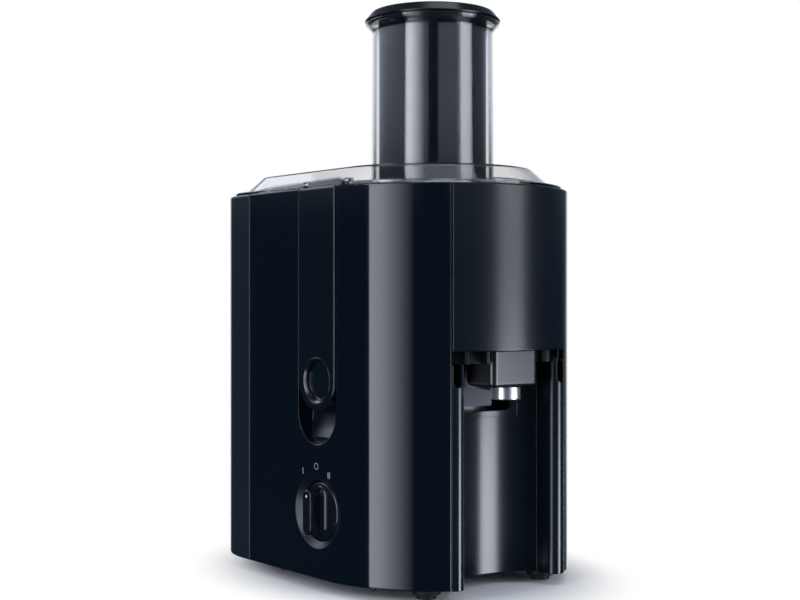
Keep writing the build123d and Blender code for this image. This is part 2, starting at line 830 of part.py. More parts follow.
# Electrics: interlock switches behind the clamp channels, control board, cord gland
with BuildPart() as interlock_switches:
    with Locations((-(body_radius - channel_depth - channel_wall), clamp_y, pocket_high)):
        Box(*interlock_size, align=(Align.MIN, Align.CENTER, Align.MIN))
    mirror(about=Plane.YZ)
save(interlock_switches.part, "interlock_switches")

with BuildPart() as circuit_board:
    with BuildSketch(Plane.XZ.offset(-board_y)):
        with Locations((0, board_z)):
            Rectangle(board_width, board_height)
    extrude(amount=board_thickness)
save(circuit_board.part, "circuit_board")

with BuildPart() as board_components:
    with BuildSketch(Plane.XZ.offset(board_thickness - board_y)):
        with Locations((-component_offset, board_z)):
            Circle(capacitor_radius)
        with Locations((component_offset, board_z)):
            Rectangle(chip_width, chip_height)
    extrude(amount=component_depth)
save(board_components.part, "board_components")

with BuildPart() as cord_gland:
    with BuildSketch(Plane.YZ.offset(shell_inner - gland_flange)):
        with Locations((gland_y, gland_height)):
            Circle(gland_flange_radius)
    extrude(amount=gland_flange)
    with BuildSketch(Plane.YZ.offset(shell_inner)):
        with Locations((gland_y, gland_height)):
            Circle(gland_radius)
    extrude(amount=shell_wall)
    with BuildSketch(Plane.YZ.offset(body_radius)):
        with Locations((gland_y, gland_height)):
            Circle(gland_flange_radius)
    extrude(amount=gland_flange)
    with BuildSketch(Plane.YZ.offset(shell_inner - gland_flange)):
        with Locations((gland_y, gland_height)):
            Circle(cord_bore_radius)
    extrude(amount=shell_wall + 2 * gland_flange, mode=Mode.SUBTRACT)
save(cord_gland.part, "cord_gland")

# Pulp container: the removable rear of the body, open at the top
container_front = parting_y + container_gap
container_floor = base_top + fit
with BuildPart() as pulp_container:
    with BuildSketch(Plane.XY.offset(body_bottom)):
        add(outer_plan)
        with Locations((0, container_front)):
            Rectangle(2 * body_radius, 2 * body_rear, align=(Align.CENTER, Align.MAX), mode=Mode.SUBTRACT)
    extrude(amount=body_height)
    levels = pulp_container.edges().group_by(Axis.Z)
    outline = [e for e in levels[0] + levels[-1] if e.center().Y > container_front + fit]
    fillet(outline, edge_round)
    with BuildSketch(Plane.XY.offset(container_floor + container_wall)):
        add(body_plan(container_wall))
        with Locations((0, container_front + container_wall)):
            Rectangle(2 * body_radius, 2 * body_rear, align=(Align.CENTER, Align.MAX), mode=Mode.SUBTRACT)
    extrude(amount=body_height, mode=Mode.SUBTRACT)
    with BuildSketch(Plane.XY.offset(body_bottom)):
        Rectangle(
            2 * (tongue_half_width + swing_fit), tongue_rear + swing_fit, align=(Align.CENTER, Align.MIN)
        )
    extrude(amount=container_floor - body_bottom, mode=Mode.SUBTRACT)
    with BuildSketch(Plane.XY.offset(pulp_sill - bowl_wall - fit)):
        with Locations((0, container_front)):
            Rectangle(2 * (body_radius - container_wall), 2 * container_wall)
    extrude(amount=body_height, mode=Mode.SUBTRACT)
save(pulp_container.part, "pulp_container")

# Juice bowl: round bowl with a hub over the turret, a drain and a pulp lip at the back
hub_outer = bowl_hub_radius + bowl_wall
with BuildPart() as juice_bowl:
    add(
        turned(
            [
                (bowl_hub_radius, bowl_bottom),
                (bowl_radius, bowl_bottom),
                (bowl_radius, bowl_top),
                (bowl_inner, bowl_top),
                (bowl_inner, bowl_floor),
                (hub_outer, bowl_floor),
                (hub_outer, bowl_hub_top),
                (bowl_hub_radius, bowl_hub_top),
            ]
        )
    )
    add(tube(bowl_skirt_radius, bowl_skirt_radius - bowl_wall, deck_top + fit, bowl_bottom))
    with BuildSketch(Plane.XY.offset(pulp_sill)):
        Rectangle(2 * pulp_exit_half_width, bowl_radius, align=(Align.CENTER, Align.MIN))
    extrude(amount=bowl_top - pulp_sill, mode=Mode.SUBTRACT)
    with BuildSketch(Plane.XY.offset(pulp_sill - bowl_wall)):
        Rectangle(
            2 * pulp_exit_half_width, container_front + pulp_lip_reach, align=(Align.CENTER, Align.MIN)
        )
        Circle(bowl_inner, mode=Mode.SUBTRACT)
    extrude(amount=bowl_wall)
    with BuildSketch(Plane.XY.offset(bowl_bottom)):
        with Locations((0, spout_rear - spout_wall)):
            Rectangle(
                2 * (spout_half_width - 2 * spout_wall), drain_length, align=(Align.CENTER, Align.MAX)
            )
    extrude(amount=bowl_wall, mode=Mode.SUBTRACT)
save(juice_bowl.part, "juice_bowl")

with BuildPart() as bowl_seal:
    add(tube(bowl_radius, bowl_inner, bowl_top, body_top))
    with BuildSketch(Plane.XY.offset(bowl_top)):
        Rectangle(2 * pulp_exit_half_width, bowl_radius, align=(Align.CENTER, Align.MIN))
    extrude(amount=bowl_rim_drop, mode=Mode.SUBTRACT)
save(bowl_seal.part, "bowl_seal")

# Front panel: curved cover that hangs on ribs from the bowl, between the side shells
panel_sweep = edge_angle - degrees(panel_gap / body_radius)
with BuildPart() as front_panel:
    with BuildSketch(Plane.XY.offset(panel_bottom)):
        with BuildLine():
            face = CenterArc((0, 0), body_radius, 270 - panel_sweep, 2 * panel_sweep)
            back = CenterArc((0, 0), body_radius - panel_wall, 270 - panel_sweep, 2 * panel_sweep)
            Line(face @ 0, back @ 0)
            Line(face @ 1, back @ 1)
        make_face()
    extrude(amount=body_top - panel_bottom)
    fillet(
        front_panel.faces().filter_by(GeomType.CYLINDER).sort_by(SortBy.AREA)[-1].edges(), edge_round
    )
    with BuildSketch(Plane.XY.offset(bowl_bottom)):
        with Locations(*[Location((0, 0), angle) for angle in panel_rib_angles]):
            with Locations((0, -body_radius + panel_wall / 2)):
                Rectangle(
                    panel_rib_width,
                    body_radius - bowl_radius - panel_wall / 2,
                    align=(Align.CENTER, Align.MIN),
                )
        Circle(bowl_radius + fit, mode=Mode.SUBTRACT)
    extrude(amount=bowl_top - bowl_bottom)
save(front_panel.part, "front_panel")

# Spout: box under the bowl's drain, with the drip sleeve and its plug
with BuildPart() as juice_spout:
    with BuildSketch(Plane.XY.offset(spout_bottom)):
        with Locations((0, spout_front)):
            Rectangle(2 * spout_half_width, spout_depth, align=(Align.CENTER, Align.MIN))
    extrude(amount=panel_bottom - fit - spout_bottom)
    fillet(juice_spout.edges().filter_by(Axis.Z).group_by(Axis.Y)[0], spout_corner)
    fillet(juice_spout.faces().sort_by(Axis.Z)[0].edges(), spout_round)
    with BuildSketch(Plane.XY.offset(bowl_bottom)):
        Circle(bowl_radius + fit)
    extrude(amount=bowl_top - bowl_bottom, mode=Mode.SUBTRACT)
    with BuildSketch(Plane.XY.offset(spout_floor)):
        with Locations((0, spout_front + spout_wall)):
            Rectangle(
                2 * (spout_half_width - spout_wall),
                spout_depth - 2 * spout_wall,
                align=(Align.CENTER, Align.MIN),
            )
    extrude(amount=bowl_bottom - spout_floor, mode=Mode.SUBTRACT)
    with BuildSketch(Plane.XY.offset(spout_bottom)):
        with Locations((0, spout_y)):
            Circle(sleeve_neck_radius + run_fit)
    extrude(amount=spout_wall, mode=Mode.SUBTRACT)
save(juice_spout.part, "juice_spout")

sleeve_top = spout_floor + sleeve_travel + sleeve_lip + fit
sleeve_low = spout_bottom - fit - sleeve_height
with BuildPart() as drip_sleeve:
    with Locations((0, spout_y, sleeve_low)):
        Cylinder(sleeve_radius, sleeve_height, align=LOW)
        Cylinder(sleeve_neck_radius, sleeve_top - sleeve_low, align=LOW)
    with Locations((0, spout_y, sleeve_top - sleeve_lip)):
        Cylinder(sleeve_neck_radius + sleeve_lip_width, sleeve_lip, align=LOW)
    with Locations((0, spout_y, sleeve_low)):
        Cylinder(sleeve_bore_radius, sleeve_top - sleeve_low, align=LOW, mode=Mode.SUBTRACT)
    fillet(drip_sleeve.faces().sort_by(Axis.Z)[0].edges(), edge_round)
save(drip_sleeve.part, "drip_sleeve")

with BuildPart() as drip_plug:
    with Locations((0, spout_y, sleeve_top + fit)):
        Cylinder(sleeve_neck_radius, sleeve_lip, align=LOW)
        Cylinder(sleeve_lip, bowl_bottom - sleeve_top - fit, align=LOW)
save(drip_plug.part, "drip_plug")

# Filter: base with a six-sided socket, grater disc, conical sieve and rim
labyrinth_radius = hub_outer + labyrinth_gap
socket_radius = coupling_radius + socket_wall
with BuildPart() as filter_base:
    with BuildSketch(Plane.XY.offset(filter_bottom)):
        Circle(filter_base_radius)
    extrude(amount=filter_base_thickness)
    with BuildSketch(Plane.XY.offset(bowl_hub_top + fit)):
        Circle(socket_radius)
        RegularPolygon(coupling_radius + fit, 6, mode=Mode.SUBTRACT)
    extrude(amount=filter_bottom - bowl_hub_top - fit)
    add(
        tube(
            labyrinth_radius + labyrinth_wall,
            labyrinth_radius,
            bowl_hub_top - seal_height,
            filter_bottom,
        )
    )
save(filter_base.part, "filter_base")

with BuildPart() as grater_disc:
    with BuildSketch(Plane.XY.offset(filter_floor)):
        Circle(grater_radius)
    extrude(amount=grater_thickness)
    for row in range(tooth_rows):
        reach = grater_radius * (row + 1) / (tooth_rows + 1)
        with Locations((0, 0, grater_top)):
            with PolarLocations(reach, teeth_per_row, start_angle=row * 180 / teeth_per_row):
                Cone(tooth_height, 0, tooth_height, align=LOW)
save(grater_disc.part, "grater_disc")

sieve_low_radius = filter_base_radius + run_fit
slot_low = filter_floor + filter_base_thickness
slot_high = filter_top - filter_rim_height
with BuildPart() as filter_sieve:
    add(
        turned(
            [
                (sieve_low_radius, filter_bottom),
                (sieve_low_radius + filter_wall, filter_bottom),
                (sieve_low_radius + filter_wall, filter_floor),
                (filter_top_radius + filter_wall, filter_top),
                (filter_top_radius, filter_top),
                (sieve_low_radius, filter_floor),
            ]
        )
    )
    with Locations((0, 0, slot_low)):
        with PolarLocations(filter_base_radius, filter_slots):
            Box(
                filter_top_radius,
                filter_slot_width,
                slot_high - slot_low,
                align=(Align.CENTER, Align.CENTER, Align.MIN),
                mode=Mode.SUBTRACT,
            )
save(filter_sieve.part, "filter_sieve")

save(
    tube(rim_radius + filter_rim_width, rim_radius, filter_top - filter_rim_height, filter_top + fit),
    "filter_rim",
)

# Lid: clear cover with sloped sides that follows the body's plan
knuckle_clear = knuckle_radius + swing_fit
lug_half = channel_half + clamp_lug_length
notch_width = knuckle_clear + knuckle_inset
notch_shift = (knuckle_inset - knuckle_clear) / 2
with BuildPart() as lid_cover:
    with BuildSketch(Plane.XY.offset(lid_seat)):
        add(body_plan(lid_flange_inset))
    extrude(amount=lid_flange_thickness)
    with BuildSketch(Plane.XY.offset(lid_flange_top)):
        add(body_plan(lid_base_inset))
    with BuildSketch(Plane.XY.offset(lid_top)):
        add(body_plan(lid_top_inset))
    loft(ruled=True)
    with BuildSketch(Plane.XY.offset(lid_seat)):
        add(body_plan(lid_base_inset + 2 * lid_wall))
    with BuildSketch(Plane.XY.offset(lid_top - lid_wall)):
        add(body_plan(lid_top_inset + lid_wall))
    loft(ruled=True, mode=Mode.SUBTRACT)
    with Locations((-knuckle_x, clamp_y, lid_seat), (knuckle_x, clamp_y, lid_seat)):
        Box(2 * knuckle_clear, 2 * lug_half, 2 * knuckle_radius + fit, align=LOW)
    with Locations(*[(side * (knuckle_x + notch_shift), clamp_y, lid_seat) for side in (-1, 1)]):
        Box(notch_width, 2 * channel_half, 2 * knuckle_radius + swing_fit, align=LOW, mode=Mode.SUBTRACT)
    with Locations((-knuckle_x, clamp_y, knuckle_z), (knuckle_x, clamp_y, knuckle_z)):
        Cylinder(
            clamp_pin_radius + run_fit, 2 * lug_half, rotation=(90, 0, 0), mode=Mode.SUBTRACT
        )
    with BuildSketch(Plane.XY.offset(lid_seat)):
        Circle(chute_radius + run_fit)
    extrude(amount=lid_height, mode=Mode.SUBTRACT)
save(lid_cover.part, "lid_cover")

with BuildPart() as clamp_pins:
    with Locations((-knuckle_x, clamp_y, knuckle_z), (knuckle_x, clamp_y, knuckle_z)):
        Cylinder(clamp_pin_radius, 2 * lug_half, rotation=(90, 0, 0))
save(clamp_pins.part, "clamp_pins")

chute_shoulder = chute_top - chute_lip_height
lip_inner = chute_lip_radius - chute_lip_wall
feed_chute = turned(
    [
        (chute_bore_radius, chute_bottom),
        (chute_radius, chute_bottom),
        (chute_radius, lid_top),
        (chute_collar_radius, lid_top),
        (chute_radius, lid_top + chute_collar_height),
        (chute_radius - chute_draft, chute_shoulder),
        (chute_lip_radius, chute_top - chute_lip_edge),
        (chute_lip_radius, chute_top),
        (lip_inner, chute_top),
        (lip_inner, chute_top - chute_recess_depth),
        (chute_bore_radius - chute_draft, chute_shoulder),
    ]
)
save(feed_chute, "feed_chute")

# Pusher: closed cup with a domed cap that sits on the chute's lip
pusher_top = cap_top - pusher_wall
pusher_body = turned(
    [
        (0, pusher_bottom),
        (pusher_radius, pusher_bottom),
        (pusher_radius, pusher_top),
        (pusher_radius - pusher_wall, pusher_top),
        (pusher_radius - pusher_wall, pusher_bottom + pusher_wall),
        (0, pusher_bottom + pusher_wall),
    ]
)
save(pusher_body, "pusher_body")

collar_low = chute_top - chute_recess_depth + fit
cap_crown = pusher_cap_radius - cap_lean
dome_radius = (cap_crown**2 + pusher_dome**2) / (2 * pusher_dome)
with BuildPart() as pusher_cap:
    with BuildSketch(Plane.XZ) as cap_profile:
        with BuildLine():
            sole = Polyline(
                (0, pusher_top),
                (pusher_radius + run_fit, pusher_top),
                (pusher_radius + run_fit, collar_low),
                (pusher_collar_radius, collar_low),
                (pusher_collar_radius, cap_seat),
                (pusher_cap_radius - cap_toe, cap_seat),
            )
            toe = RadiusArc(sole @ 1, (pusher_cap_radius, cap_seat + cap_toe), -cap_toe)
            slope = Line(toe @ 1, (cap_crown, cap_top))
            dome = RadiusArc(slope @ 1, (0, cap_top + pusher_dome), -dome_radius)
            Line(dome @ 1, sole @ 0)
        make_face()
        fillet(cap_profile.vertices().sort_by_distance((cap_crown, cap_top))[0], cap_round)
    revolve(axis=Axis.Z)
save(pusher_cap.part, "pusher_cap")

# Clamps: long handles hinged on the lid, with a round finger dish at the lower end
arm_low = body_top - clamp_arm_thickness
web_x = knuckle_x + fit + run_fit + swing_fit
with BuildPart() as left_clamp:
    with BuildSketch(left_face):
        with Locations((-clamp_y, finger_center)):
            Circle(clamp_half)
            Rectangle(clamp_width, body_top - finger_center, align=(Align.CENTER, Align.MIN))
    extrude(amount=-clamp_thickness)
    fillet(left_clamp.faces().sort_by(Axis.X)[0].edges(), clamp_round)
    with BuildSketch(Plane.XZ.offset(-clamp_y - clamp_half)):
        with BuildLine():
            Polyline(
                (-body_radius + clamp_round, arm_low),
                (-web_x, arm_low),
                (-web_x, knuckle_z),
                (-web_x - clamp_arm_thickness, knuckle_z),
                (-web_x - clamp_arm_thickness, body_top),
                (-body_radius + clamp_round, body_top),
                close=True,
            )
        make_face()
        with Locations((-knuckle_x, knuckle_z)):
            Circle(knuckle_radius)
    extrude(amount=clamp_width)
    with Locations((-knuckle_x, clamp_y, knuckle_z)):
        Cylinder(clamp_pin_radius + run_fit, clamp_width, rotation=(90, 0, 0), mode=Mode.SUBTRACT)
    with Locations((-body_radius, clamp_y, finger_center)):
        Cone(
            finger_rim_radius,
            finger_floor_radius,
            finger_depth,
            rotation=(0, 90, 0),
            align=LOW,
            mode=Mode.SUBTRACT,
        )
save(left_clamp.part, "left_clamp")

with BuildPart() as right_clamp:
    mirror(left_clamp.part, about=Plane.YZ)
save(right_clamp.part, "right_clamp")
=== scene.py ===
import math

import bmesh
import bpy
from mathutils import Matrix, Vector


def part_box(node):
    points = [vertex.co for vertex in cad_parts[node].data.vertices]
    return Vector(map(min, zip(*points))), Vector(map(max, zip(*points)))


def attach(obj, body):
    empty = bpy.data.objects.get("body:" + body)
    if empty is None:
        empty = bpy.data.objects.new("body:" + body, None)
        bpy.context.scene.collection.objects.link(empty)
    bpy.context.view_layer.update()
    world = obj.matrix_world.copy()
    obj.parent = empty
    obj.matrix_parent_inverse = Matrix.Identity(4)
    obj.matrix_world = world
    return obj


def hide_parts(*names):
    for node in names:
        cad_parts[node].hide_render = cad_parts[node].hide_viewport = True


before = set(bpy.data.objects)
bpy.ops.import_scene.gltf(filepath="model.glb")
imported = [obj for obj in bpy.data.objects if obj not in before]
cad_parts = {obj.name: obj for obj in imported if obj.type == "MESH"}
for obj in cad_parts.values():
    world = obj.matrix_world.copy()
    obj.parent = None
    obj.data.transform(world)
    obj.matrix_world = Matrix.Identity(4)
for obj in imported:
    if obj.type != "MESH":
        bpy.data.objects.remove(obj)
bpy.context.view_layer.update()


# Base plate, rear wall and top deck: plain trays of dark grey plastic that close the motor room.
# They are moulded, screwed together and hidden in use, so they keep the fine spark texture of
# the tool and have no polish.
def new_group(name, inputs, outputs):
    """Empty shader node group with these sockets, and its two end nodes."""
    group = bpy.data.node_groups.new(name, "ShaderNodeTree")
    for label, kind, value in inputs:
        socket = group.interface.new_socket(label, in_out="INPUT", socket_type=kind)
        socket.default_value = value
    for label, kind in outputs:
        group.interface.new_socket(label, in_out="OUTPUT", socket_type=kind)
    return group, group.nodes.new("NodeGroupInput"), group.nodes.new("NodeGroupOutput")


def add_node(tree, kind, **inputs):
    """A node with some of its input sockets set by name."""
    node = tree.nodes.new(kind)
    for label, value in inputs.items():
        node.inputs[label.replace("_", " ")].default_value = value
    return node


def feed(tree, place, term):
    """Give an input socket a number, or the output of another node."""
    if isinstance(term, float):
        place.default_value = term
    else:
        tree.links.new(term, place)


noise_low, noise_high = 0.3, 0.7


def ranged(tree, source, low, high):
    """Map the usual span of a noise socket onto the span between two numbers or sockets."""
    span = add_node(tree, "ShaderNodeMapRange", From_Min=noise_low, From_Max=noise_high)
    tree.links.new(source, span.inputs["Value"])
    feed(tree, span.inputs["To Min"], low)
    feed(tree, span.inputs["To Max"], high)
    return span.outputs["Result"]


def sums(tree, operation, first, second):
    """One arithmetic step between two numbers or sockets."""
    step = tree.nodes.new("ShaderNodeMath")
    step.operation = operation
    feed(tree, step.inputs[0], first)
    feed(tree, step.inputs[1], second)
    return step.outputs[0]


moulded_grain, grain_in, grain_out = new_group(
    "moulded_grain",
    [
        ("Colour", "NodeSocketColor", (0.05, 0.05, 0.05, 1.0)),
        ("Mottle", "NodeSocketFloat", 0.1),
        ("Roughness", "NodeSocketFloat", 0.4),
        ("Spread", "NodeSocketFloat", 0.04),
        ("Grain Scale", "NodeSocketFloat", 2200.0),
    ],
    [("Color", "NodeSocketColor"), ("Roughness", "NodeSocketFloat"), ("Height", "NodeSocketFloat")],
)
grain_place = moulded_grain.nodes.new("ShaderNodeTexCoord")
grain_flow = add_node(moulded_grain, "ShaderNodeTexNoise", Scale=14.0, Detail=3.0)
grain_fine = add_node(moulded_grain, "ShaderNodeTexNoise", Detail=2.0, Roughness=0.6)
grain_tone = moulded_grain.nodes.new("ShaderNodeHueSaturation")
for noise in (grain_flow, grain_fine):
    moulded_grain.links.new(grain_place.outputs["Object"], noise.inputs["Vector"])
moulded_grain.links.new(grain_in.outputs["Grain Scale"], grain_fine.inputs["Scale"])
moulded_grain.links.new(grain_in.outputs["Colour"], grain_tone.inputs["Color"])
moulded_grain.links.new(
    ranged(
        moulded_grain,
        grain_flow.outputs["Fac"],
        sums(moulded_grain, "SUBTRACT", 1.0, grain_in.outputs["Mottle"]),
        sums(moulded_grain, "ADD", 1.0, grain_in.outputs["Mottle"]),
    ),
    grain_tone.inputs["Value"],
)
moulded_grain.links.new(
    ranged(
        moulded_grain,
        grain_flow.outputs["Fac"],
        sums(moulded_grain, "SUBTRACT", grain_in.outputs["Roughness"], grain_in.outputs["Spread"]),
        sums(moulded_grain, "ADD", grain_in.outputs["Roughness"], grain_in.outputs["Spread"]),
    ),
    grain_out.inputs["Roughness"],
)
moulded_grain.links.new(grain_tone.outputs["Color"], grain_out.inputs["Color"])
moulded_grain.links.new(grain_fine.outputs["Fac"], grain_out.inputs["Height"])


def new_material(name, group, values):
    """A material whose Principled shader is fed by one placed group."""
    material = bpy.data.materials.new(name)
    material.use_nodes = True
    tree = material.node_tree
    skin = tree.nodes.new("ShaderNodeGroup")
    skin.node_tree = group
    for label, value in values.items():
        skin.inputs[label].default_value = value
    return material, tree, tree.nodes["Principled BSDF"], skin


def raise_surface(tree, shader, height, depth, strength, edge=0.0):
    """Bump of a real depth, in metres, on the shader's normal, over edges broken by a small round."""
    bump = add_node(tree, "ShaderNodeBump", Distance=depth, Strength=strength)
    tree.links.new(height, bump.inputs["Height"])
    tree.links.new(bump.outputs["Normal"], shader.inputs["Normal"])
    if edge:
        broken = add_node(tree, "ShaderNodeBevel", Radius=edge)
        broken.samples = 6
        tree.links.new(broken.outputs["Normal"], bump.inputs["Normal"])


def moulded(name, colour, roughness, spread, mottle, grain_scale, depth, edge=0.0):
    """Plastic or rubber straight from a mould."""
    material, tree, shader, skin = new_material(
        name,
        moulded_grain,
        {
            "Colour": (*colour, 1.0),
            "Roughness": roughness,
            "Spread": spread,
            "Mottle": mottle,
            "Grain Scale": grain_scale,
        },
    )
    tree.links.new(skin.outputs["Color"], shader.inputs["Base Color"])
    tree.links.new(skin.outputs["Roughness"], shader.inputs["Roughness"])
    raise_surface(tree, shader, skin.outputs["Height"], depth, strength=0.35, edge=edge)
    return material


def dress(material, *names):
    """Put a finish on CAD nodes."""
    for name in names:
        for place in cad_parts[name].material_slots:
            place.link = "OBJECT"
            place.material = material


tray_plastic = moulded(
    "tray_plastic",
    colour=(0.030, 0.032, 0.036),
    roughness=0.55,
    spread=0.06,
    mottle=0.12,
    grain_scale=1500.0,
    depth=3e-5,
)
dress(tray_plastic, "base_plate", "rear_wall", "top_deck")


# Feet: black rubber buttons, wide above and stepped in below, pushed into holes in the base.
# They are turned here with the small rounded edges of the moulding.
def finish_mesh(name, shape, sharp=math.radians(35)):
    """Close off a bmesh as a smooth shaded object with crisp edges kept."""
    bmesh.ops.recalc_face_normals(shape, faces=shape.faces)
    mesh = bpy.data.meshes.new(name)
    shape.to_mesh(mesh)
    shape.free()
    mesh.shade_smooth()
    mesh.set_sharp_from_angle(angle=sharp)
    piece = bpy.data.objects.new(name, mesh)
    bpy.context.scene.collection.objects.link(piece)
    return piece


def compass(steps, offset=0.0):
    """Even directions round an axis, as (cosine, sine) pairs, turned by a share of one step."""
    turns = [math.tau * (k + offset) / steps for k in range(steps)]
    return [(math.cos(turn), math.sin(turn)) for turn in turns]


def bridge(shape, rings):
    """Faces from each ring of points to the next; a ring of one point is a tip."""
    for lower, upper in zip(rings, rings[1:]):
        steps = max(len(lower), len(upper))
        for k in range(steps):
            after = (k + 1) % steps
            corners = [lower[k % len(lower)], lower[after % len(lower)]]
            corners += [upper[after % len(upper)], upper[k % len(upper)]]
            shape.faces.new(list(dict.fromkeys(corners)))


def lathe(name, profile, places, steps=64):
    """Turned pieces of one (radius, height) profile about upright axes, as one mesh."""
    shape = bmesh.new()
    for x, y in places:
        rings = []
        for radius, height in profile:
            points = compass(steps) if radius else [(0.0, 0.0)]
            rings.append([shape.verts.new((x + radius * a, y + radius * b, height)) for a, b in points])
        bridge(shape, rings)
    return finish_mesh(name, shape)


def quarter_turns(steps):
    """Angles that step through a right angle."""
    return [math.radians(90 * k / steps) for k in range(steps + 1)]


def rounded(radius, height, bend):
    """Quarter-round lower corner of a turned profile, from its flat end out to its wall."""
    return [
        (radius - bend + bend * math.sin(turn), height + bend - bend * math.cos(turn))
        for turn in quarter_turns(4)
    ]


foot_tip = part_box("rubber_feet")[1].z
foot_places = [(-0.051, -0.055), (0.051, -0.055), (-0.050, 0.075), (0.050, 0.075)]
foot_reach, foot_seat, foot_round = 0.0098, 0.0079, 0.0008
foot_step_radius, foot_step, foot_step_round, foot_step_blend = 0.0068, 0.0032, 0.0009, 0.0005
foot_disc, foot_groove, foot_groove_depth = 0.0044, 0.0048, 0.0004
stem_radius, barb_radius, barb_tip, barb_seat = 0.0030, 0.0042, 0.0034, 0.0113
foot_profile = [(0.0, 0.0), (foot_disc, 0.0), (foot_groove, foot_groove_depth)]
foot_profile += rounded(foot_step_radius, 0.0, foot_step_round)
foot_profile += [(foot_step_radius, foot_step - foot_step_blend)]
foot_profile += [(foot_step_radius + foot_step_blend, foot_step)]
foot_profile += rounded(foot_reach, foot_step, foot_round)
foot_profile += [(foot_reach, foot_seat), (stem_radius, foot_seat)]
foot_profile += [(stem_radius, barb_seat), (barb_radius, barb_seat), (barb_tip, foot_tip), (0.0, foot_tip)]
feet = lathe("foot_buttons", foot_profile, foot_places)
foot_rubber = moulded(
    "foot_rubber",
    colour=(0.014, 0.015, 0.017),
    roughness=0.62,
    spread=0.06,
    mottle=0.15,
    grain_scale=1800.0,
    depth=4e-5,
)
feet.data.materials.append(foot_rubber)
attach(feet, "motor_block")
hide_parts("rubber_feet")


# Side shells: thin skins of blue-black plastic, polished to a mirror in the mould and screwed up
# from the base. They carry only faint wipe marks. On the left one the dial's dish and the scoop
# under the clamp are left satin.
wipe_marks, wipe_in, wipe_out = new_group(
    "wipe_marks",
    [
        ("Roughness", "NodeSocketFloat", 0.05),
        ("Smear", "NodeSocketFloat", 0.03),
        ("Scale", "NodeSocketFloat", 9.0),
    ],
    [("Roughness", "NodeSocketFloat"), ("Height", "NodeSocketFloat")],
)
wipe_place = wipe_marks.nodes.new("ShaderNodeTexCoord")
wipe_cloud = add_node(wipe_marks, "ShaderNodeTexNoise", Detail=5.0, Roughness=0.65, Distortion=0.8)
wipe_wave = add_node(wipe_marks, "ShaderNodeTexNoise", Scale=40.0, Detail=1.0)
wipe_marks.links.new(wipe_place.outputs["Object"], wipe_cloud.inputs["Vector"])
wipe_marks.links.new(wipe_place.outputs["Object"], wipe_wave.inputs["Vector"])
wipe_marks.links.new(wipe_in.outputs["Scale"], wipe_cloud.inputs["Scale"])
wipe_marks.links.new(
    ranged(
        wipe_marks,
        wipe_cloud.outputs["Fac"],
        wipe_in.outputs["Roughness"],
        sums(wipe_marks, "ADD", wipe_in.outputs["Roughness"], wipe_in.outputs["Smear"]),
    ),
    wipe_out.inputs["Roughness"],
)
wipe_marks.links.new(wipe_wave.outputs["Fac"], wipe_out.inputs["Height"])


def polished(name, colour, roughness, smear, edge):
    """Mirror-polished plastic with faint wipe marks and the slow waves of a moulded wall."""
    material, tree, shader, skin = new_material(
        name, wipe_marks, {"Roughness": roughness, "Smear": smear}
    )
    shader.inputs["Base Color"].default_value = (*colour, 1.0)
    tree.links.new(skin.outputs["Roughness"], shader.inputs["Roughness"])
    raise_surface(tree, shader, skin.outputs["Height"], depth=4e-6, strength=0.10, edge=edge)
    return material


shell_radius, clamp_line = 0.0940, 0.0075
shell_blue = (0.0022, 0.0049, 0.0090)
shell_gloss = polished("shell_gloss", shell_blue, roughness=0.045, smear=0.03, edge=0.0010)
dress(shell_gloss, "right_side_shell")
dial_center, dial_reach, dial_satin = Vector((-shell_radius, clamp_line, 0.0526)), 0.0247, 0.36
scoop_center, scoop_reach, scoop_satin = Vector((-0.0700, clamp_line, 0.1080)), 0.0235, 0.30
dial_gloss = polished("dial_gloss", shell_blue, roughness=0.045, smear=0.03, edge=0.0010)
dial_tree = dial_gloss.node_tree
dial_place = dial_tree.nodes.new("ShaderNodeTexCoord")
dial_skin = dial_tree.nodes["Principled BSDF"].inputs["Roughness"]
for center, reach, satin in (
    (dial_center, dial_reach, dial_satin),
    (scoop_center, scoop_reach, scoop_satin),
):
    apart = dial_tree.nodes.new("ShaderNodeVectorMath")
    apart.operation = "DISTANCE"
    apart.inputs[1].default_value = center
    dial_tree.links.new(dial_place.outputs["Object"], apart.inputs[0])
    inside = sums(dial_tree, "LESS_THAN", apart.outputs["Value"], reach)
    dulled = sums(dial_tree, "MULTIPLY", inside, satin)
    dial_tree.links.new(sums(dial_tree, "MAXIMUM", dial_skin.links[0].from_socket, dulled), dial_skin)
dress(dial_gloss, "left_side_shell")


# Clamps: long levers in the same polished plastic, hung on the lid's pins and laid flush in the
# channels of the shells. Their long edges are rounded over and catch a bright line. Their copy of
# the plastic reflects more strongly than the shells' own, a painted sheen that brightens that line.
clamp_painted_sheen = polished("clamp_painted_sheen", shell_blue, roughness=0.045, smear=0.03, edge=0.0022)
clamp_painted_sheen.node_tree.nodes["Principled BSDF"].inputs["Specular IOR Level"].default_value = 0.95
dress(clamp_painted_sheen, "left_clamp", "right_clamp")


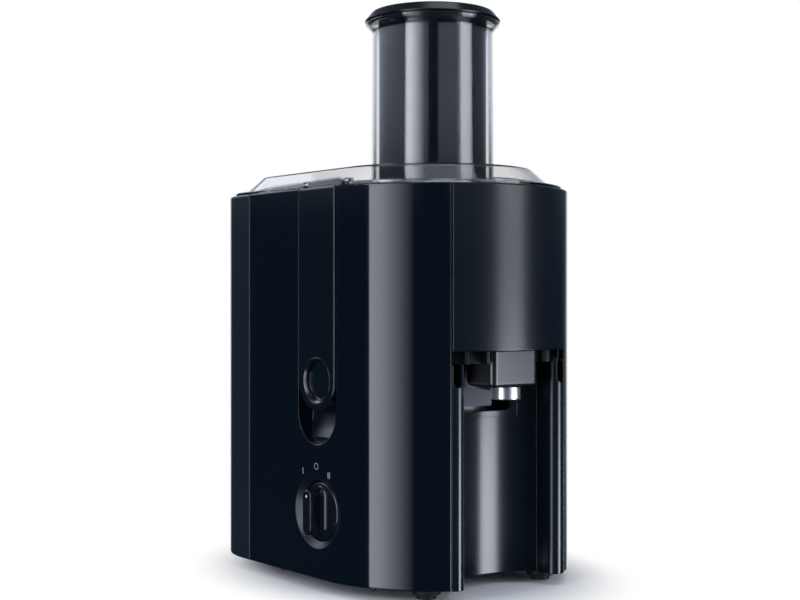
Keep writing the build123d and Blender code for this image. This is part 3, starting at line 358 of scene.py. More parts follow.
# Finger rings: rounded collars that line the finger dish near the lower end of each clamp.
# They are moulded in the same blue-black plastic, pressed in and left with a satin face.
# The section runs in (radius, depth) points from the rim down the dish and back behind the wall.
ring_satin = moulded(
    "ring_satin",
    colour=(0.0022, 0.0048, 0.0086),
    roughness=0.20,
    spread=0.02,
    mottle=0.06,
    grain_scale=2600.0,
    depth=5e-6,
)
finger_height, finger_steps = 0.1393, 96
finger_profile = [(0.01545, 0.00004), (0.01530, -0.00022), (0.01500, -0.00024)]
finger_profile += [(0.01470, -0.00008), (0.01305, 0.00110), (0.01275, 0.00150), (0.01262, 0.00210)]
finger_profile += [(0.01262, 0.00336), (0.01285, 0.00306)]
for side, clamp in ((-1, "left_clamp"), (1, "right_clamp")):
    ring_shape = bmesh.new()
    ring_loops = []
    for radius, depth in finger_profile:
        x = side * (shell_radius - depth)
        points = [(clamp_line + radius * a, finger_height + radius * b) for a, b in compass(finger_steps)]
        ring_loops.append([ring_shape.verts.new((x, y, z)) for y, z in points])
    bridge(ring_shape, ring_loops + ring_loops[:1])
    ring = finish_mesh(clamp + "_finger_ring", ring_shape, math.radians(60))
    ring.data.materials.append(ring_satin)
    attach(ring, clamp)


# Dial marks: pale printed signs on the left shell, stop in the middle and a speed each side.
# Each is a thin raised film that follows the flat side and the start of the round front.
print_lift = 0.00006


def on_shell(ahead, height, lift):
    """Point on the left shell, this far ahead of the line where its round front starts."""
    if ahead <= 0.0:
        return Vector((-shell_radius - lift, -ahead, height))
    turn = ahead / shell_radius
    reach = shell_radius + lift
    return Vector((-reach * math.cos(turn), -reach * math.sin(turn), height))


def printed(name, outlines, material):
    """Raised film inside each outline, given as an (ahead, height) loop."""
    shape = bmesh.new()
    for loop in outlines:
        low = [shape.verts.new(on_shell(a, h, -print_lift)) for a, h in loop]
        top = [shape.verts.new(on_shell(a, h, print_lift)) for a, h in loop]
        shape.faces.new(top)
        shape.faces.new(low[::-1])
        bridge(shape, [low, top])
    piece = finish_mesh(name, shape)
    piece.data.materials.append(material)
    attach(piece, "motor_block")


mark_bar_width, mark_bar_length, mark_bar_pitch = 0.0008, 0.0042, 0.0016


def bar_loop(ahead, height):
    """Upright bar about this middle."""
    across, up = 0.5 * mark_bar_width, 0.5 * mark_bar_length
    low, high = height - up, height + up
    return [(ahead - across, low), (ahead + across, low), (ahead + across, high), (ahead - across, high)]


mark_film = moulded(
    "mark_film",
    colour=(0.30, 0.31, 0.34),
    roughness=0.45,
    spread=0.05,
    mottle=0.08,
    grain_scale=3000.0,
    depth=1e-5,
)
dial_ahead, dial_height = -dial_center.y, dial_center.z
one_ahead, one_height = dial_ahead - 0.0155, dial_height + 0.0257
two_ahead, two_height = dial_ahead + 0.0140, dial_height + 0.0252
stop_height, stop_steps, stop_out, stop_in = dial_height + 0.0300, 36, 0.0023, 0.0018
stop_sectors = []
for k in range(stop_steps):
    start, end = math.tau * k / stop_steps, math.tau * (k + 1) / stop_steps
    stop_sectors.append(
        [
            (dial_ahead + r * math.sin(t), stop_height + r * math.cos(t))
            for r, t in ((stop_in, start), (stop_out, start), (stop_out, end), (stop_in, end))
        ]
    )
printed("mark_speed_one", [bar_loop(one_ahead, one_height)], mark_film)
printed(
    "mark_speed_two",
    [bar_loop(two_ahead + shift * mark_bar_pitch, two_height) for shift in (-0.5, 0.5)],
    mark_film,
)
printed("mark_stop", stop_sectors, mark_film)


# Jug recess wall: a concave screen of blue-black plastic, with a beaded window under the bowl.
# It is moulded with its pilasters, stands between the shells and has a softer sheen than they do.
recess_satin = moulded(
    "recess_satin",
    colour=(0.0034, 0.0072, 0.0120),
    roughness=0.23,
    spread=0.012,
    mottle=0.08,
    grain_scale=2600.0,
    depth=6e-6,
    edge=0.0007,
)
dress(recess_satin, "jug_recess_wall")


# Window tongue: a flat tapered plate of grey plastic behind the window of the recess wall. Its pale
# grey is painted light, standing for the lit patch seen there through the window. Its root is
# fixed to the back of the wall beside the window, and its edges are rounded over.
tongue_root, tongue_heel, tongue_tip = -0.0265, -0.0240, 0.0140
tongue_seat, tongue_front, tongue_back = -0.0528, -0.0462, -0.0452
tongue_low, tongue_high, tongue_fall, tongue_round = 0.1212, 0.1378, 0.163, 0.0003
tongue_plan = [(tongue_root, tongue_seat), (tongue_heel, tongue_seat), (tongue_heel, tongue_front)]
tongue_plan += [(tongue_tip, tongue_front), (tongue_tip, tongue_back), (tongue_root, tongue_back)]
tongue_shape = bmesh.new()
tongue_foot = [tongue_shape.verts.new((x, y, tongue_low)) for x, y in tongue_plan]
tongue_head = [
    tongue_shape.verts.new((x, y, tongue_high - tongue_fall * (x - tongue_root))) for x, y in tongue_plan
]
tongue_shape.faces.new(tongue_foot)
tongue_shape.faces.new(tongue_head)
bridge(tongue_shape, [tongue_foot, tongue_head])
bmesh.ops.bevel(
    tongue_shape, geom=tongue_shape.edges[:], offset=tongue_round, segments=2, profile=0.5, affect="EDGES"
)
tongue = finish_mesh("window_tongue", tongue_shape, math.radians(60))
# Pale grey, far lighter than the plastics round it: painted light for the lit patch in the window.
tongue_painted_light = moulded(
    "tongue_painted_light",
    colour=(0.105, 0.109, 0.132),
    roughness=0.38,
    spread=0.03,
    mottle=0.08,
    grain_scale=2200.0,
    depth=8e-6,
)
tongue.data.materials.append(tongue_painted_light)
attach(tongue, "motor_block")


# Motor: stacked laminations wound with copper, cast brackets, and a steel shaft in two bearings,
# drawn together by long tie screws. Machined faces show fine tool lines; castings and
# laminations are duller.
tool_lines, lines_in, lines_out = new_group(
    "tool_lines",
    [
        ("Colour", "NodeSocketColor", (0.6, 0.6, 0.62, 1.0)),
        ("Stain", "NodeSocketFloat", 0.1),
        ("Roughness", "NodeSocketFloat", 0.3),
        ("Spread", "NodeSocketFloat", 0.08),
        ("Line Scale", "NodeSocketFloat", 900.0),
    ],
    [("Color", "NodeSocketColor"), ("Roughness", "NodeSocketFloat"), ("Height", "NodeSocketFloat")],
)
lines_place = tool_lines.nodes.new("ShaderNodeTexCoord")
lines_stretch = tool_lines.nodes.new("ShaderNodeMapping")
lines_stretch.inputs["Scale"].default_value = (0.04, 0.04, 1.0)
lines_fine = add_node(tool_lines, "ShaderNodeTexNoise", Detail=3.0)
lines_cloud = add_node(tool_lines, "ShaderNodeTexNoise", Scale=25.0, Detail=4.0)
lines_tone = tool_lines.nodes.new("ShaderNodeHueSaturation")
tool_lines.links.new(lines_place.outputs["Object"], lines_stretch.inputs["Vector"])
tool_lines.links.new(lines_stretch.outputs["Vector"], lines_fine.inputs["Vector"])
tool_lines.links.new(lines_place.outputs["Object"], lines_cloud.inputs["Vector"])
tool_lines.links.new(lines_in.outputs["Line Scale"], lines_fine.inputs["Scale"])
tool_lines.links.new(lines_in.outputs["Colour"], lines_tone.inputs["Color"])
tool_lines.links.new(
    ranged(
        tool_lines,
        lines_cloud.outputs["Fac"],
        sums(tool_lines, "SUBTRACT", 1.0, lines_in.outputs["Stain"]),
        1.0,
    ),
    lines_tone.inputs["Value"],
)
tool_lines.links.new(
    ranged(
        tool_lines,
        lines_fine.outputs["Fac"],
        lines_in.outputs["Roughness"],
        sums(tool_lines, "ADD", lines_in.outputs["Roughness"], lines_in.outputs["Spread"]),
    ),
    lines_out.inputs["Roughness"],
)
tool_lines.links.new(lines_tone.outputs["Color"], lines_out.inputs["Color"])
tool_lines.links.new(lines_fine.outputs["Fac"], lines_out.inputs["Height"])


def machined(name, colour, roughness, spread, stain, line_scale, depth):
    """Bare metal with the lines of its making."""
    material, tree, shader, skin = new_material(
        name,
        tool_lines,
        {
            "Colour": (*colour, 1.0),
            "Roughness": roughness,
            "Spread": spread,
            "Stain": stain,
            "Line Scale": line_scale,
        },
    )
    shader.inputs["Metallic"].default_value = 1.0
    tree.links.new(skin.outputs["Color"], shader.inputs["Base Color"])
    tree.links.new(skin.outputs["Roughness"], shader.inputs["Roughness"])
    raise_surface(tree, shader, skin.outputs["Height"], depth, strength=0.3)
    return material


bright_steel = machined(
    "bright_steel",
    colour=(0.62, 0.63, 0.65),
    roughness=0.20,
    spread=0.15,
    stain=0.08,
    line_scale=1400.0,
    depth=6e-6,
)
dress(bright_steel, "motor_shaft", "upper_bearing", "lower_bearing", "motor_tie_screws", "knob_spindle")
core_steel = machined(
    "core_steel",
    colour=(0.30, 0.30, 0.32),
    roughness=0.42,
    spread=0.20,
    stain=0.25,
    line_scale=2600.0,
    depth=3e-5,
)
dress(core_steel, "stator_core", "armature_core")
bracket_casting = machined(
    "bracket_casting",
    colour=(0.55, 0.56, 0.58),
    roughness=0.45,
    spread=0.15,
    stain=0.15,
    line_scale=400.0,
    depth=4e-5,
)
dress(bracket_casting, "motor_upper_bracket", "motor_lower_bracket")
wound_copper = machined(
    "wound_copper",
    colour=(0.62, 0.27, 0.13),
    roughness=0.32,
    spread=0.20,
    stain=0.30,
    line_scale=5200.0,
    depth=1.2e-4,
)
dress(wound_copper, "field_coils", "armature_windings", "commutator")


# Brush gear: two blocks of pressed carbon that slide in brass holders and bear on the commutator.
# The holders are folded from sheet and keep a worn shine; the carbon has none.
brush_brass = machined(
    "brush_brass",
    colour=(0.72, 0.55, 0.24),
    roughness=0.28,
    spread=0.15,
    stain=0.20,
    line_scale=900.0,
    depth=8e-6,
)
dress(brush_brass, "brush_holders")
pressed_carbon = moulded(
    "pressed_carbon",
    colour=(0.018, 0.018, 0.019),
    roughness=0.60,
    spread=0.10,
    mottle=0.20,
    grain_scale=3000.0,
    depth=3e-5,
)
dress(pressed_carbon, "carbon_brushes")


# Seals, bushes and gland: the same black rubber as the feet, moulded to fit and pressed in place.
# They carry the motor, close the shaft's turret, the bowl and the spout, and line the cord's hole.
dress(foot_rubber, "motor_bushes", "shaft_seal", "bowl_seal", "drip_plug", "cord_gland")


# Fan, coupling and switch gear: small dark grey mouldings, pressed on the shaft or clipped inside.
# The board is glass cloth under green lacquer, with its components soldered on.
fan_plastic = moulded(
    "fan_plastic",
    colour=(0.045, 0.047, 0.052),
    roughness=0.40,
    spread=0.06,
    mottle=0.10,
    grain_scale=1500.0,
    depth=2e-5,
)
dress(fan_plastic, "cooling_fan", "drive_coupling", "rotary_switch", "interlock_switches")
dress(fan_plastic, "board_components")
board_lacquer = moulded(
    "board_lacquer",
    colour=(0.012, 0.095, 0.035),
    roughness=0.30,
    spread=0.05,
    mottle=0.25,
    grain_scale=700.0,
    depth=2e-5,
)
dress(board_lacquer, "circuit_board")


# Screws: steel pan heads with a cross slot, in the base, the deck and the motor's mounts.
# Heads are turned with a domed top and the slot is cut as four sloped walls.
screw_head, head_radius, shank_radius = 0.0022, 0.0035, 0.0017
head_wall, shoulder_radius, shoulder_rise = 0.0012, 0.0033, 0.0003
dome_radius, dome_drop = 0.0027, 0.00012
slot_arm, slot_half, slot_depth, slot_taper = 0.0021, 0.00042, 0.0011, 0.82
slot_corners = []
for across, along in ((slot_half, slot_half), (slot_arm, slot_half), (slot_half, slot_arm)):
    slot_corners += [(across, along), (across, -along), (-across, along), (-across, -along)]
slot_corners.sort(key=lambda corner: math.atan2(corner[1], corner[0]))


def slot_circle(radius):
    """Round outline whose points face those of the slot."""
    return [(radius * a / math.hypot(a, b), radius * b / math.hypot(a, b)) for a, b in slot_corners]


def cross_screws(name, places, seat, end, tip, node):
    """Screws whose heads run from seat to end and whose shanks run from seat to tip."""
    out = 1.0 if end > seat else -1.0
    edge = seat + out * head_wall
    sections = [
        ([(slot_taper * a, slot_taper * b) for a, b in slot_corners], end - out * slot_depth),
        (slot_corners, end),
        (slot_circle(dome_radius), end - out * dome_drop),
        (slot_circle(shoulder_radius), edge + out * shoulder_rise),
        (slot_circle(head_radius), edge),
        (slot_circle(head_radius), seat),
        (slot_circle(shank_radius), seat),
        (slot_circle(shank_radius), tip),
    ]
    shape = bmesh.new()
    for x, y in places:
        rings = [[shape.verts.new((x + a, y + b, z)) for a, b in outline] for outline, z in sections]
        shape.faces.new(rings[0])
        shape.faces.new(rings[-1])
        bridge(shape, rings)
    piece = finish_mesh(name, shape)
    piece.data.materials.append(bright_steel)
    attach(piece, "motor_block")
    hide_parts(node)


def screw_span(node):
    """Heights of a screw group: its lowest and highest point."""
    low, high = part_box(node)
    return low.z, high.z


deck_posts = [(-0.068, -0.030), (0.068, -0.030), (-0.068, 0.070), (0.068, 0.070)]
low_z, high_z = screw_span("deck_screws")
cross_screws("deck_screw_set", deck_posts, high_z - screw_head, high_z, low_z, "deck_screws")
mount_places = [(0.036, 0.0), (0.0, 0.036), (-0.036, 0.0), (0.0, -0.036)]
low_z, high_z = screw_span("motor_mount_screws")
cross_screws("mount_screw_set", mount_places, high_z - screw_head, high_z, low_z, "motor_mount_screws")
boss_reach, boss_turn, boss_rear = 0.0875, math.radians(65), 0.055
boss_side, boss_front = boss_reach * math.sin(boss_turn), -boss_reach * math.cos(boss_turn)
shell_places = [
    (side * x, y) for side in (-1, 1) for x, y in ((boss_reach, boss_rear), (boss_side, boss_front))
]
low_z, high_z = screw_span("shell_screws")
cross_screws("shell_screw_set", shell_places, low_z + screw_head, low_z, high_z, "shell_screws")


# Speed knob: a satin disc sunk in its dish, with a rounded grip bar that swells at its root.
# It is moulded in one piece and pressed on the switch's spindle. The grip is lofted here from
# root to crown; a white dot near its top is the pointer.
knob_low, knob_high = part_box("speed_knob")
disc_reach, disc_thickness, disc_round, disc_middle = 0.0198, 0.0030, 0.0022, 0.0030
grip_half_length, grip_half_width = 0.0150, 0.0048
root_round, root_hold = 0.0038, 0.4
crown_round, crown_inset, crown_sink = 0.0011, 0.0030, 0.00004
knob_back, knob_face, grip_top = knob_high.x, knob_high.x - disc_thickness, knob_low.x
knob_turns = compass(192)


def grip_outline(grow):
    """Rounded bar outline, this much wider each side and a little longer, as (across, up) points."""
    radius = grip_half_width + grow
    straight = grip_half_length - grip_half_width - root_hold * max(grow, 0.0)
    points = []
    for across, up in knob_turns:
        if abs(across) * straight > abs(up) * radius:
            reach = radius / abs(across)
        else:
            reach = straight * abs(up) + math.sqrt(radius**2 - (straight * across) ** 2)
        points.append((reach * across, reach * up))
    return points


def knob_circle(radius):
    """Round outline whose points face those of the grip."""
    return [(radius * across, radius * up) for across, up in knob_turns]


knob_shape = bmesh.new()
knob_rings = []


def knob_ring(points, x):
    """One section of the knob, at this depth."""
    knob_rings.append([knob_shape.verts.new((x, dial_center.y + a, dial_center.z + b)) for a, b in points])


knob_ring(knob_circle(disc_middle), knob_back)
knob_ring(knob_circle(disc_reach), knob_back)
for turn in quarter_turns(4):
    rim = disc_reach - disc_round * (1 - math.cos(turn))
    knob_ring(knob_circle(rim), knob_face + disc_round * (1 - math.sin(turn)))
for turn in quarter_turns(7):
    swell = root_round * (1 - math.sin(turn))
    knob_ring(grip_outline(swell), knob_face - root_round * (1 - math.cos(turn)))
for turn in quarter_turns(5):
    shrink = crown_round * (1 - math.cos(turn))
    knob_ring(grip_outline(-shrink), grip_top + crown_round * (1 - math.sin(turn)))
knob_ring(grip_outline(-crown_inset), grip_top + crown_sink)
bridge(knob_shape, knob_rings)
knob_shape.faces.new(knob_rings[0])
knob_shape.faces.new(knob_rings[-1])
knob = finish_mesh("knob_grip", knob_shape)
knob_satin = moulded(
    "knob_satin",
    colour=(0.0034, 0.0064, 0.0105),
    roughness=0.20,
    spread=0.02,
    mottle=0.08,
    grain_scale=2600.0,
    depth=6e-6,
)
knob.data.materials.append(knob_satin)
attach(knob, "speed_knob")
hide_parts("speed_knob")
dot_film = moulded(
    "dot_film",
    colour=(0.78, 0.79, 0.80),
    roughness=0.40,
    spread=0.05,
    mottle=0.05,
    grain_scale=3000.0,
    depth=1e-5,
)
dress(dot_film, "knob_pointer")


# Pulp container: the satin rear of the body, a deep tub that slides out backwards to be emptied.
# It is moulded in one piece in a greyer blue-black plastic, with its long edges rounded over.
container_satin = moulded(
    "container_satin",
    colour=(0.0110, 0.0160, 0.0240),
    roughness=0.14,
    spread=0.012,
    mottle=0.08,
    grain_scale=2600.0,
    depth=6e-6,
    edge=0.0020,
)
dress(container_satin, "pulp_container")


# Juice collector: bowl, curved front panel and boxed spout, moulded in blue-black plastic with a
# satin face that is left bare. The spout's copy is painted a little lighter and more glossy than the
# panel's, a painted sheen on its front face. A bright plated sleeve slides on the neck of the spout.
panel_satin = moulded(
    "panel_satin",
    colour=(0.0020, 0.0048, 0.0085),
    roughness=0.25,
    spread=0.012,
    mottle=0.06,
    grain_scale=2600.0,
    depth=6e-6,
    edge=0.0007,
)
dress(panel_satin, "front_panel")
# Painted sheen: the panel's plastic, a little lighter and more glossy, to brighten the spout's face.
spout_painted_sheen = moulded(
    "spout_painted_sheen",
    colour=(0.0030, 0.0056, 0.0090),
    roughness=0.25,
    spread=0.012,
    mottle=0.06,
    grain_scale=2600.0,
    depth=6e-6,
    edge=0.0007,
)
spout_painted_sheen.node_tree.nodes["Principled BSDF"].inputs["Specular IOR Level"].default_value = 0.85
dress(spout_painted_sheen, "juice_spout")
bowl_satin = moulded(
    "bowl_satin",
    colour=(0.0080, 0.0110, 0.0150),
    roughness=0.32,
    spread=0.04,
    mottle=0.10,
    grain_scale=2200.0,
    depth=1.5e-5,
)
dress(bowl_satin, "juice_bowl")
sleeve_chrome, sleeve_tree, sleeve_shader, sleeve_skin = new_material(
    "sleeve_chrome", wipe_marks, {"Roughness": 0.28, "Smear": 0.06, "Scale": 120.0}
)
sleeve_shader.inputs["Base Color"].default_value = (0.90, 0.91, 0.93, 1.0)
sleeve_shader.inputs["Metallic"].default_value = 1.0
sleeve_tree.links.new(sleeve_skin.outputs["Roughness"], sleeve_shader.inputs["Roughness"])
raise_surface(sleeve_tree, sleeve_shader, sleeve_skin.outputs["Height"], depth=2e-6, strength=0.1)
dress(sleeve_chrome, "drip_sleeve")


# Filter: plastic base and rim, pressed grater disc, and a steel cone whose slots hold a fine
# woven wire that lets juice out and keeps pulp in. The weave is modelled wire by wire.
dress(fan_plastic, "filter_base", "filter_rim")
sieve_steel = machined(
    "sieve_steel",
    colour=(0.66, 0.67, 0.69),
    roughness=0.24,
    spread=0.14,
    stain=0.06,
    line_scale=2200.0,
    depth=8e-6,
)
dress(sieve_steel, "grater_disc", "filter_sieve")
weave_low, weave_high = 0.1936, 0.2396
weave_floor, weave_floor_radius, weave_rise, weave_taper = 0.1901, 0.05005, 0.054, 0.01645
weave_columns, weave_rows = 216, 22
weave_shape = bmesh.new()
weave_rings = []
for row in range(weave_rows + 1):
    height = weave_low + (weave_high - weave_low) * row / weave_rows
    radius = weave_floor_radius + weave_taper * (height - weave_floor) / weave_rise
    points = compass(weave_columns, offset=0.5 * (row % 2))
    weave_rings.append([weave_shape.verts.new((radius * a, radius * b, height)) for a, b in points])
bridge(weave_shape, weave_rings)
weave = finish_mesh("sieve_weave", weave_shape)
weave_wires = weave.modifiers.new("wires", "WIREFRAME")
weave_wires.thickness = 0.00045
weave_wires.use_even_offset = False
weave.data.materials.append(sieve_steel)
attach(weave, "filter")


# Lid and feed chute: clear polished plastic, one sloped cover and one wide tube welded into it.
# The clamps' pins, of blackened steel, are pressed through lugs on its sides.
blackened_steel = machined(
    "blackened_steel",
    colour=(0.020, 0.021, 0.024),
    roughness=0.34,
    spread=0.12,
    stain=0.10,
    line_scale=1400.0,
    depth=6e-6,
)
dress(blackened_steel, "clamp_pins")
clear_plastic, clear_tree, clear_shader, clear_skin = new_material(
    "clear_plastic", wipe_marks, {"Roughness": 0.012, "Smear": 0.02, "Scale": 14.0}
)
clear_shader.inputs["Base Color"].default_value = (0.985, 0.99, 1.0, 1.0)
clear_shader.inputs["Transmission Weight"].default_value = 1.0
clear_shader.inputs["IOR"].default_value = 1.49
clear_tree.links.new(clear_skin.outputs["Roughness"], clear_shader.inputs["Roughness"])
clear_height = clear_skin.outputs["Height"]
raise_surface(clear_tree, clear_shader, clear_height, depth=3e-6, strength=0.08, edge=0.0014)
dress(clear_plastic, "lid_cover", "feed_chute")


# Pusher: a cup of dark satin plastic that fills the chute and is drawn out by its cap.
# Cup and cap are moulded apart and pressed together; the domed cap rests on the chute's lip.
pusher_satin = moulded(
    "pusher_satin",
    colour=(0.0014, 0.0030, 0.0052),
    roughness=0.21,
    spread=0.012,
    mottle=0.06,
    grain_scale=2600.0,
    depth=5e-6,
    edge=0.0006,
)
dress(pusher_satin, "pusher_body", "pusher_cap")


# Floor and studio: a round of pale paper that keeps the soft shadow and fades into white.
# The studio is white to the eye and through clear plastic. To gloss it is a dim blue room, with a
# paler band above the floor that leaves a dark slit towards the camera and falls off to the right.
def white_to_view(tree):
    """1 for rays that look at the floor, directly or by way of gloss or glass."""
    rays = tree.nodes.new("ShaderNodeLightPath")
    seen = sums(tree, "MAXIMUM", rays.outputs["Is Camera Ray"], rays.outputs["Is Glossy Ray"])
    return sums(tree, "MAXIMUM", seen, rays.outputs["Is Transmission Ray"])


floor_half_width, floor_half_depth, floor_center_y = 0.150, 0.190, 0.030
floor_shape = bmesh.new()
bmesh.ops.create_circle(floor_shape, cap_ends=True, segments=96, radius=1.0)
floor = finish_mesh("floor", floor_shape)
floor.location = (0.0, floor_center_y, 0.0)
floor.scale = (floor_half_width, floor_half_depth, 1.0)
floor_paper = bpy.data.materials.new("floor_paper")
floor_paper.use_nodes = True
floor_tree = floor_paper.node_tree
floor_tree.nodes.clear()
floor_place = floor_tree.nodes.new("ShaderNodeTexCoord")
floor_reach = floor_tree.nodes.new("ShaderNodeVectorMath")
floor_reach.operation = "LENGTH"
floor_fade = add_node(floor_tree, "ShaderNodeMapRange", From_Min=0.55, From_Max=0.98)
floor_fade.interpolation_type = "SMOOTHSTEP"
floor_diffuse = add_node(floor_tree, "ShaderNodeBsdfDiffuse", Color=(0.92, 0.92, 0.93, 1.0))
floor_white = add_node(floor_tree, "ShaderNodeEmission", Color=(1.0, 1.0, 1.0, 1.0), Strength=1.0)
floor_mix = floor_tree.nodes.new("ShaderNodeMixShader")
floor_end = floor_tree.nodes.new("ShaderNodeOutputMaterial")
floor_tree.links.new(floor_place.outputs["Object"], floor_reach.inputs[0])
floor_tree.links.new(floor_reach.outputs["Value"], floor_fade.inputs["Value"])
floor_tree.links.new(
    sums(floor_tree, "MULTIPLY", floor_fade.outputs["Result"], white_to_view(floor_tree)),
    floor_mix.inputs["Fac"],
)
floor_tree.links.new(floor_diffuse.outputs[0], floor_mix.inputs[1])
floor_tree.links.new(floor_white.outputs[0], floor_mix.inputs[2])
floor_tree.links.new(floor_mix.outputs[0], floor_end.inputs["Surface"])
floor.data.materials.append(floor_paper)
floor.visible_glossy = False

view_from = Vector((-0.615, -0.741, 0.1943))
view_along = Vector((0.6203, 0.7845, 0.0)).normalized()
view_side = Vector((view_along.y, -view_along.x, 0.0))
studio = bpy.data.worlds.new("studio")
bpy.context.scene.world = studio
studio.use_nodes = True
studio_tree = studio.node_tree
studio_tree.nodes.clear()
studio_place = studio_tree.nodes.new("ShaderNodeTexCoord")


def toward(direction, *steps):
    """How far a ray heads this way, after the given vector steps on its direction."""
    heading = studio_place.outputs["Generated"]
    for operation, value in steps:
        step = studio_tree.nodes.new("ShaderNodeVectorMath")
        step.operation = operation
        studio_tree.links.new(heading, step.inputs[0])
        step.inputs[1].default_value = value
        heading = step.outputs["Vector"]
    facing = studio_tree.nodes.new("ShaderNodeVectorMath")
    facing.operation = "DOT_PRODUCT"
    facing.inputs[1].default_value = direction
    studio_tree.links.new(heading, facing.inputs[0])
    return facing.outputs["Value"]


def stepped(value, start, end, first, last):
    """Soft step of a socket from one level to another."""
    span = {"From_Min": start, "From_Max": end, "To_Min": first, "To_Max": last}
    step = add_node(studio_tree, "ShaderNodeMapRange", **span)
    step.interpolation_type = "SMOOTHSTEP"
    studio_tree.links.new(value, step.inputs["Value"])
    return step.outputs["Result"]


straight_up = (0.0, 0.0, 1.0)
level_ray = (("MULTIPLY", (1.0, 1.0, 0.0)), ("NORMALIZE", (0.0, 0.0, 0.0)))
studio_rise = stepped(toward(straight_up), start=0.05, end=0.16, first=0.0, last=1.0)
studio_fall = stepped(toward(straight_up), start=0.28, end=0.50, first=1.0, last=0.25)
studio_right = stepped(toward(view_side, *level_ray), start=0.60, end=0.90, first=1.0, last=0.30)
studio_slit = stepped(toward(-view_along, *level_ray), start=0.9790, end=0.9925, first=1.0, last=0.0)
studio_behind = stepped(toward(view_along), start=0.88, end=0.95, first=0.0, last=1.0)
studio_rays = studio_tree.nodes.new("ShaderNodeLightPath")
studio_bounced = sums(
    studio_tree, "MAXIMUM", studio_rays.outputs["Is Glossy Ray"], studio_rays.outputs["Is Transmission Ray"]
)
studio_through = sums(
    studio_tree,
    "MULTIPLY",
    studio_rays.outputs["Is Transmission Ray"],
    sums(studio_tree, "LESS_THAN", studio_rays.outputs["Glossy Depth"], 0.5),
)
studio_seen = studio_rays.outputs["Is Camera Ray"]
for share in (studio_through, sums(studio_tree, "MULTIPLY", studio_bounced, studio_behind)):
    studio_seen = sums(studio_tree, "MAXIMUM", studio_seen, share)
studio_band = studio_rise
for edge in (studio_fall, studio_slit, studio_right):
    studio_band = sums(studio_tree, "MULTIPLY", studio_band, edge)
studio_ramp = studio_tree.nodes.new("ShaderNodeValToRGB")
studio_ramp.color_ramp.elements[0].color = (0.016, 0.026, 0.040, 1.0)
studio_ramp.color_ramp.elements[1].color = (0.42, 0.47, 0.56, 1.0)
studio_tree.links.new(studio_band, studio_ramp.inputs["Fac"])
studio_dim = add_node(studio_tree, "ShaderNodeBackground", Strength=1.0)
studio_tree.links.new(studio_ramp.outputs["Color"], studio_dim.inputs["Color"])
studio_white = add_node(studio_tree, "ShaderNodeBackground", Color=(1.0, 1.0, 1.0, 1.0), Strength=1.0)
studio_mix = studio_tree.nodes.new("ShaderNodeMixShader")
studio_end = studio_tree.nodes.new("ShaderNodeOutputWorld")
studio_tree.links.new(studio_seen, studio_mix.inputs["Fac"])
studio_tree.links.new(studio_dim.outputs[0], studio_mix.inputs[1])
studio_tree.links.new(studio_white.outputs[0], studio_mix.inputs[2])
studio_tree.links.new(studio_mix.outputs[0], studio_end.inputs["Surface"])


# Lamps: a tall softbox on the left that fades towards the front, a tall one at the front right
# that is brighter below, a weak one overhead and a wide low one behind for the lid's edge.
# All are fabric boxes on stands, a little cooler than the white behind the object.
lamp_tint = (0.92, 0.97, 1.08)


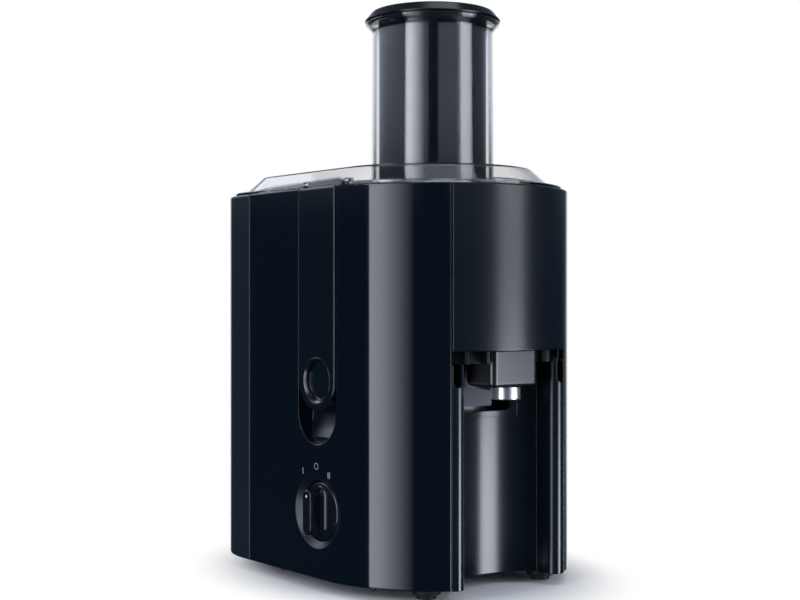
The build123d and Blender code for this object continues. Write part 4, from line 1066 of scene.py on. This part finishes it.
def softbox(name, place, target, width, height, level, ramp_axis, ramp):
    """Area lamp whose brightness follows a ramp across or up its face."""
    lamp = bpy.data.lights.new(name, "AREA")
    lamp.shape = "RECTANGLE"
    lamp.size, lamp.size_y = width, height
    lamp.energy = math.pi * width * height * level
    lamp.use_nodes = True
    tree = lamp.node_tree
    emission = tree.nodes["Emission"]
    face = tree.nodes.new("ShaderNodeNewGeometry")
    split = tree.nodes.new("ShaderNodeSeparateXYZ")
    shade = tree.nodes.new("ShaderNodeValToRGB")
    shade.color_ramp.elements[0].position, first = ramp[0]
    shade.color_ramp.elements[0].color = (first, first, first, 1.0)
    shade.color_ramp.elements[1].position, last = ramp[-1]
    shade.color_ramp.elements[1].color = (last, last, last, 1.0)
    for spot, value in ramp[1:-1]:
        shade.color_ramp.elements.new(spot).color = (value, value, value, 1.0)
    lamp.color = lamp_tint
    tree.links.new(face.outputs["Parametric"], split.inputs[0])
    tree.links.new(split.outputs[ramp_axis], shade.inputs["Fac"])
    tree.links.new(shade.outputs["Color"], emission.inputs["Color"])
    piece = bpy.data.objects.new(name, lamp)
    bpy.context.scene.collection.objects.link(piece)
    piece.location = place
    piece.rotation_mode = "QUATERNION"
    piece.rotation_quaternion = (Vector(target) - Vector(place)).to_track_quat("-Z", "Y")


def around(turn, reach, height):
    """Point this far from the object, at this angle from +X."""
    return (reach * math.cos(math.radians(turn)), reach * math.sin(math.radians(turn)), height)


softbox(
    "left_softbox",
    place=around(198.0, 1.40, 0.25),
    target=(-0.085, -0.040, 0.25),
    width=1.00,
    height=1.70,
    level=5.6,
    ramp_axis="X",
    ramp=[(0.0, 1.0), (0.25, 0.86), (0.5, 0.50), (0.75, 0.18), (0.95, 0.0)],
)
softbox(
    "right_softbox",
    place=around(297.0, 1.40, 0.20),
    target=(0.0, -0.060, 0.20),
    width=0.60,
    height=1.60,
    level=11.5,
    ramp_axis="Y",
    ramp=[(0.0, 1.0), (0.32, 1.0), (0.44, 0.29), (0.52, 0.205), (0.70, 0.34), (1.0, 0.34)],
)
even_ramp = [(0.0, 1.0), (1.0, 1.0)]
softbox(
    "top_softbox",
    place=(-0.10, -0.60, 1.90),
    target=(0.0, 0.0, 0.2),
    width=1.40,
    height=1.40,
    level=1.6,
    ramp_axis="X",
    ramp=even_ramp,
)
softbox(
    "rear_softbox",
    place=around(118.0, 1.50, 0.97),
    target=(-0.09, 0.0, 0.10),
    width=1.45,
    height=0.50,
    level=2.4,
    ramp_axis="X",
    ramp=even_ramp,
)


# Camera: at the height of the object's middle, about a metre away towards its front left corner.
# It looks almost level through a short telephoto lens, so that upright edges stay upright.
lens_drop = math.radians(0.0835)
camera_lens = bpy.data.cameras.new("camera")
camera_lens.lens, camera_lens.sensor_width = 61.74, 36.0
camera = bpy.data.objects.new("camera", camera_lens)
bpy.context.scene.collection.objects.link(camera)
camera.location = view_from
camera.rotation_euler = (math.radians(90) - lens_drop, 0.0, math.atan2(-view_along.x, view_along.y))
bpy.context.scene.camera = camera
bpy.context.scene.view_settings.view_transform = "Standard"
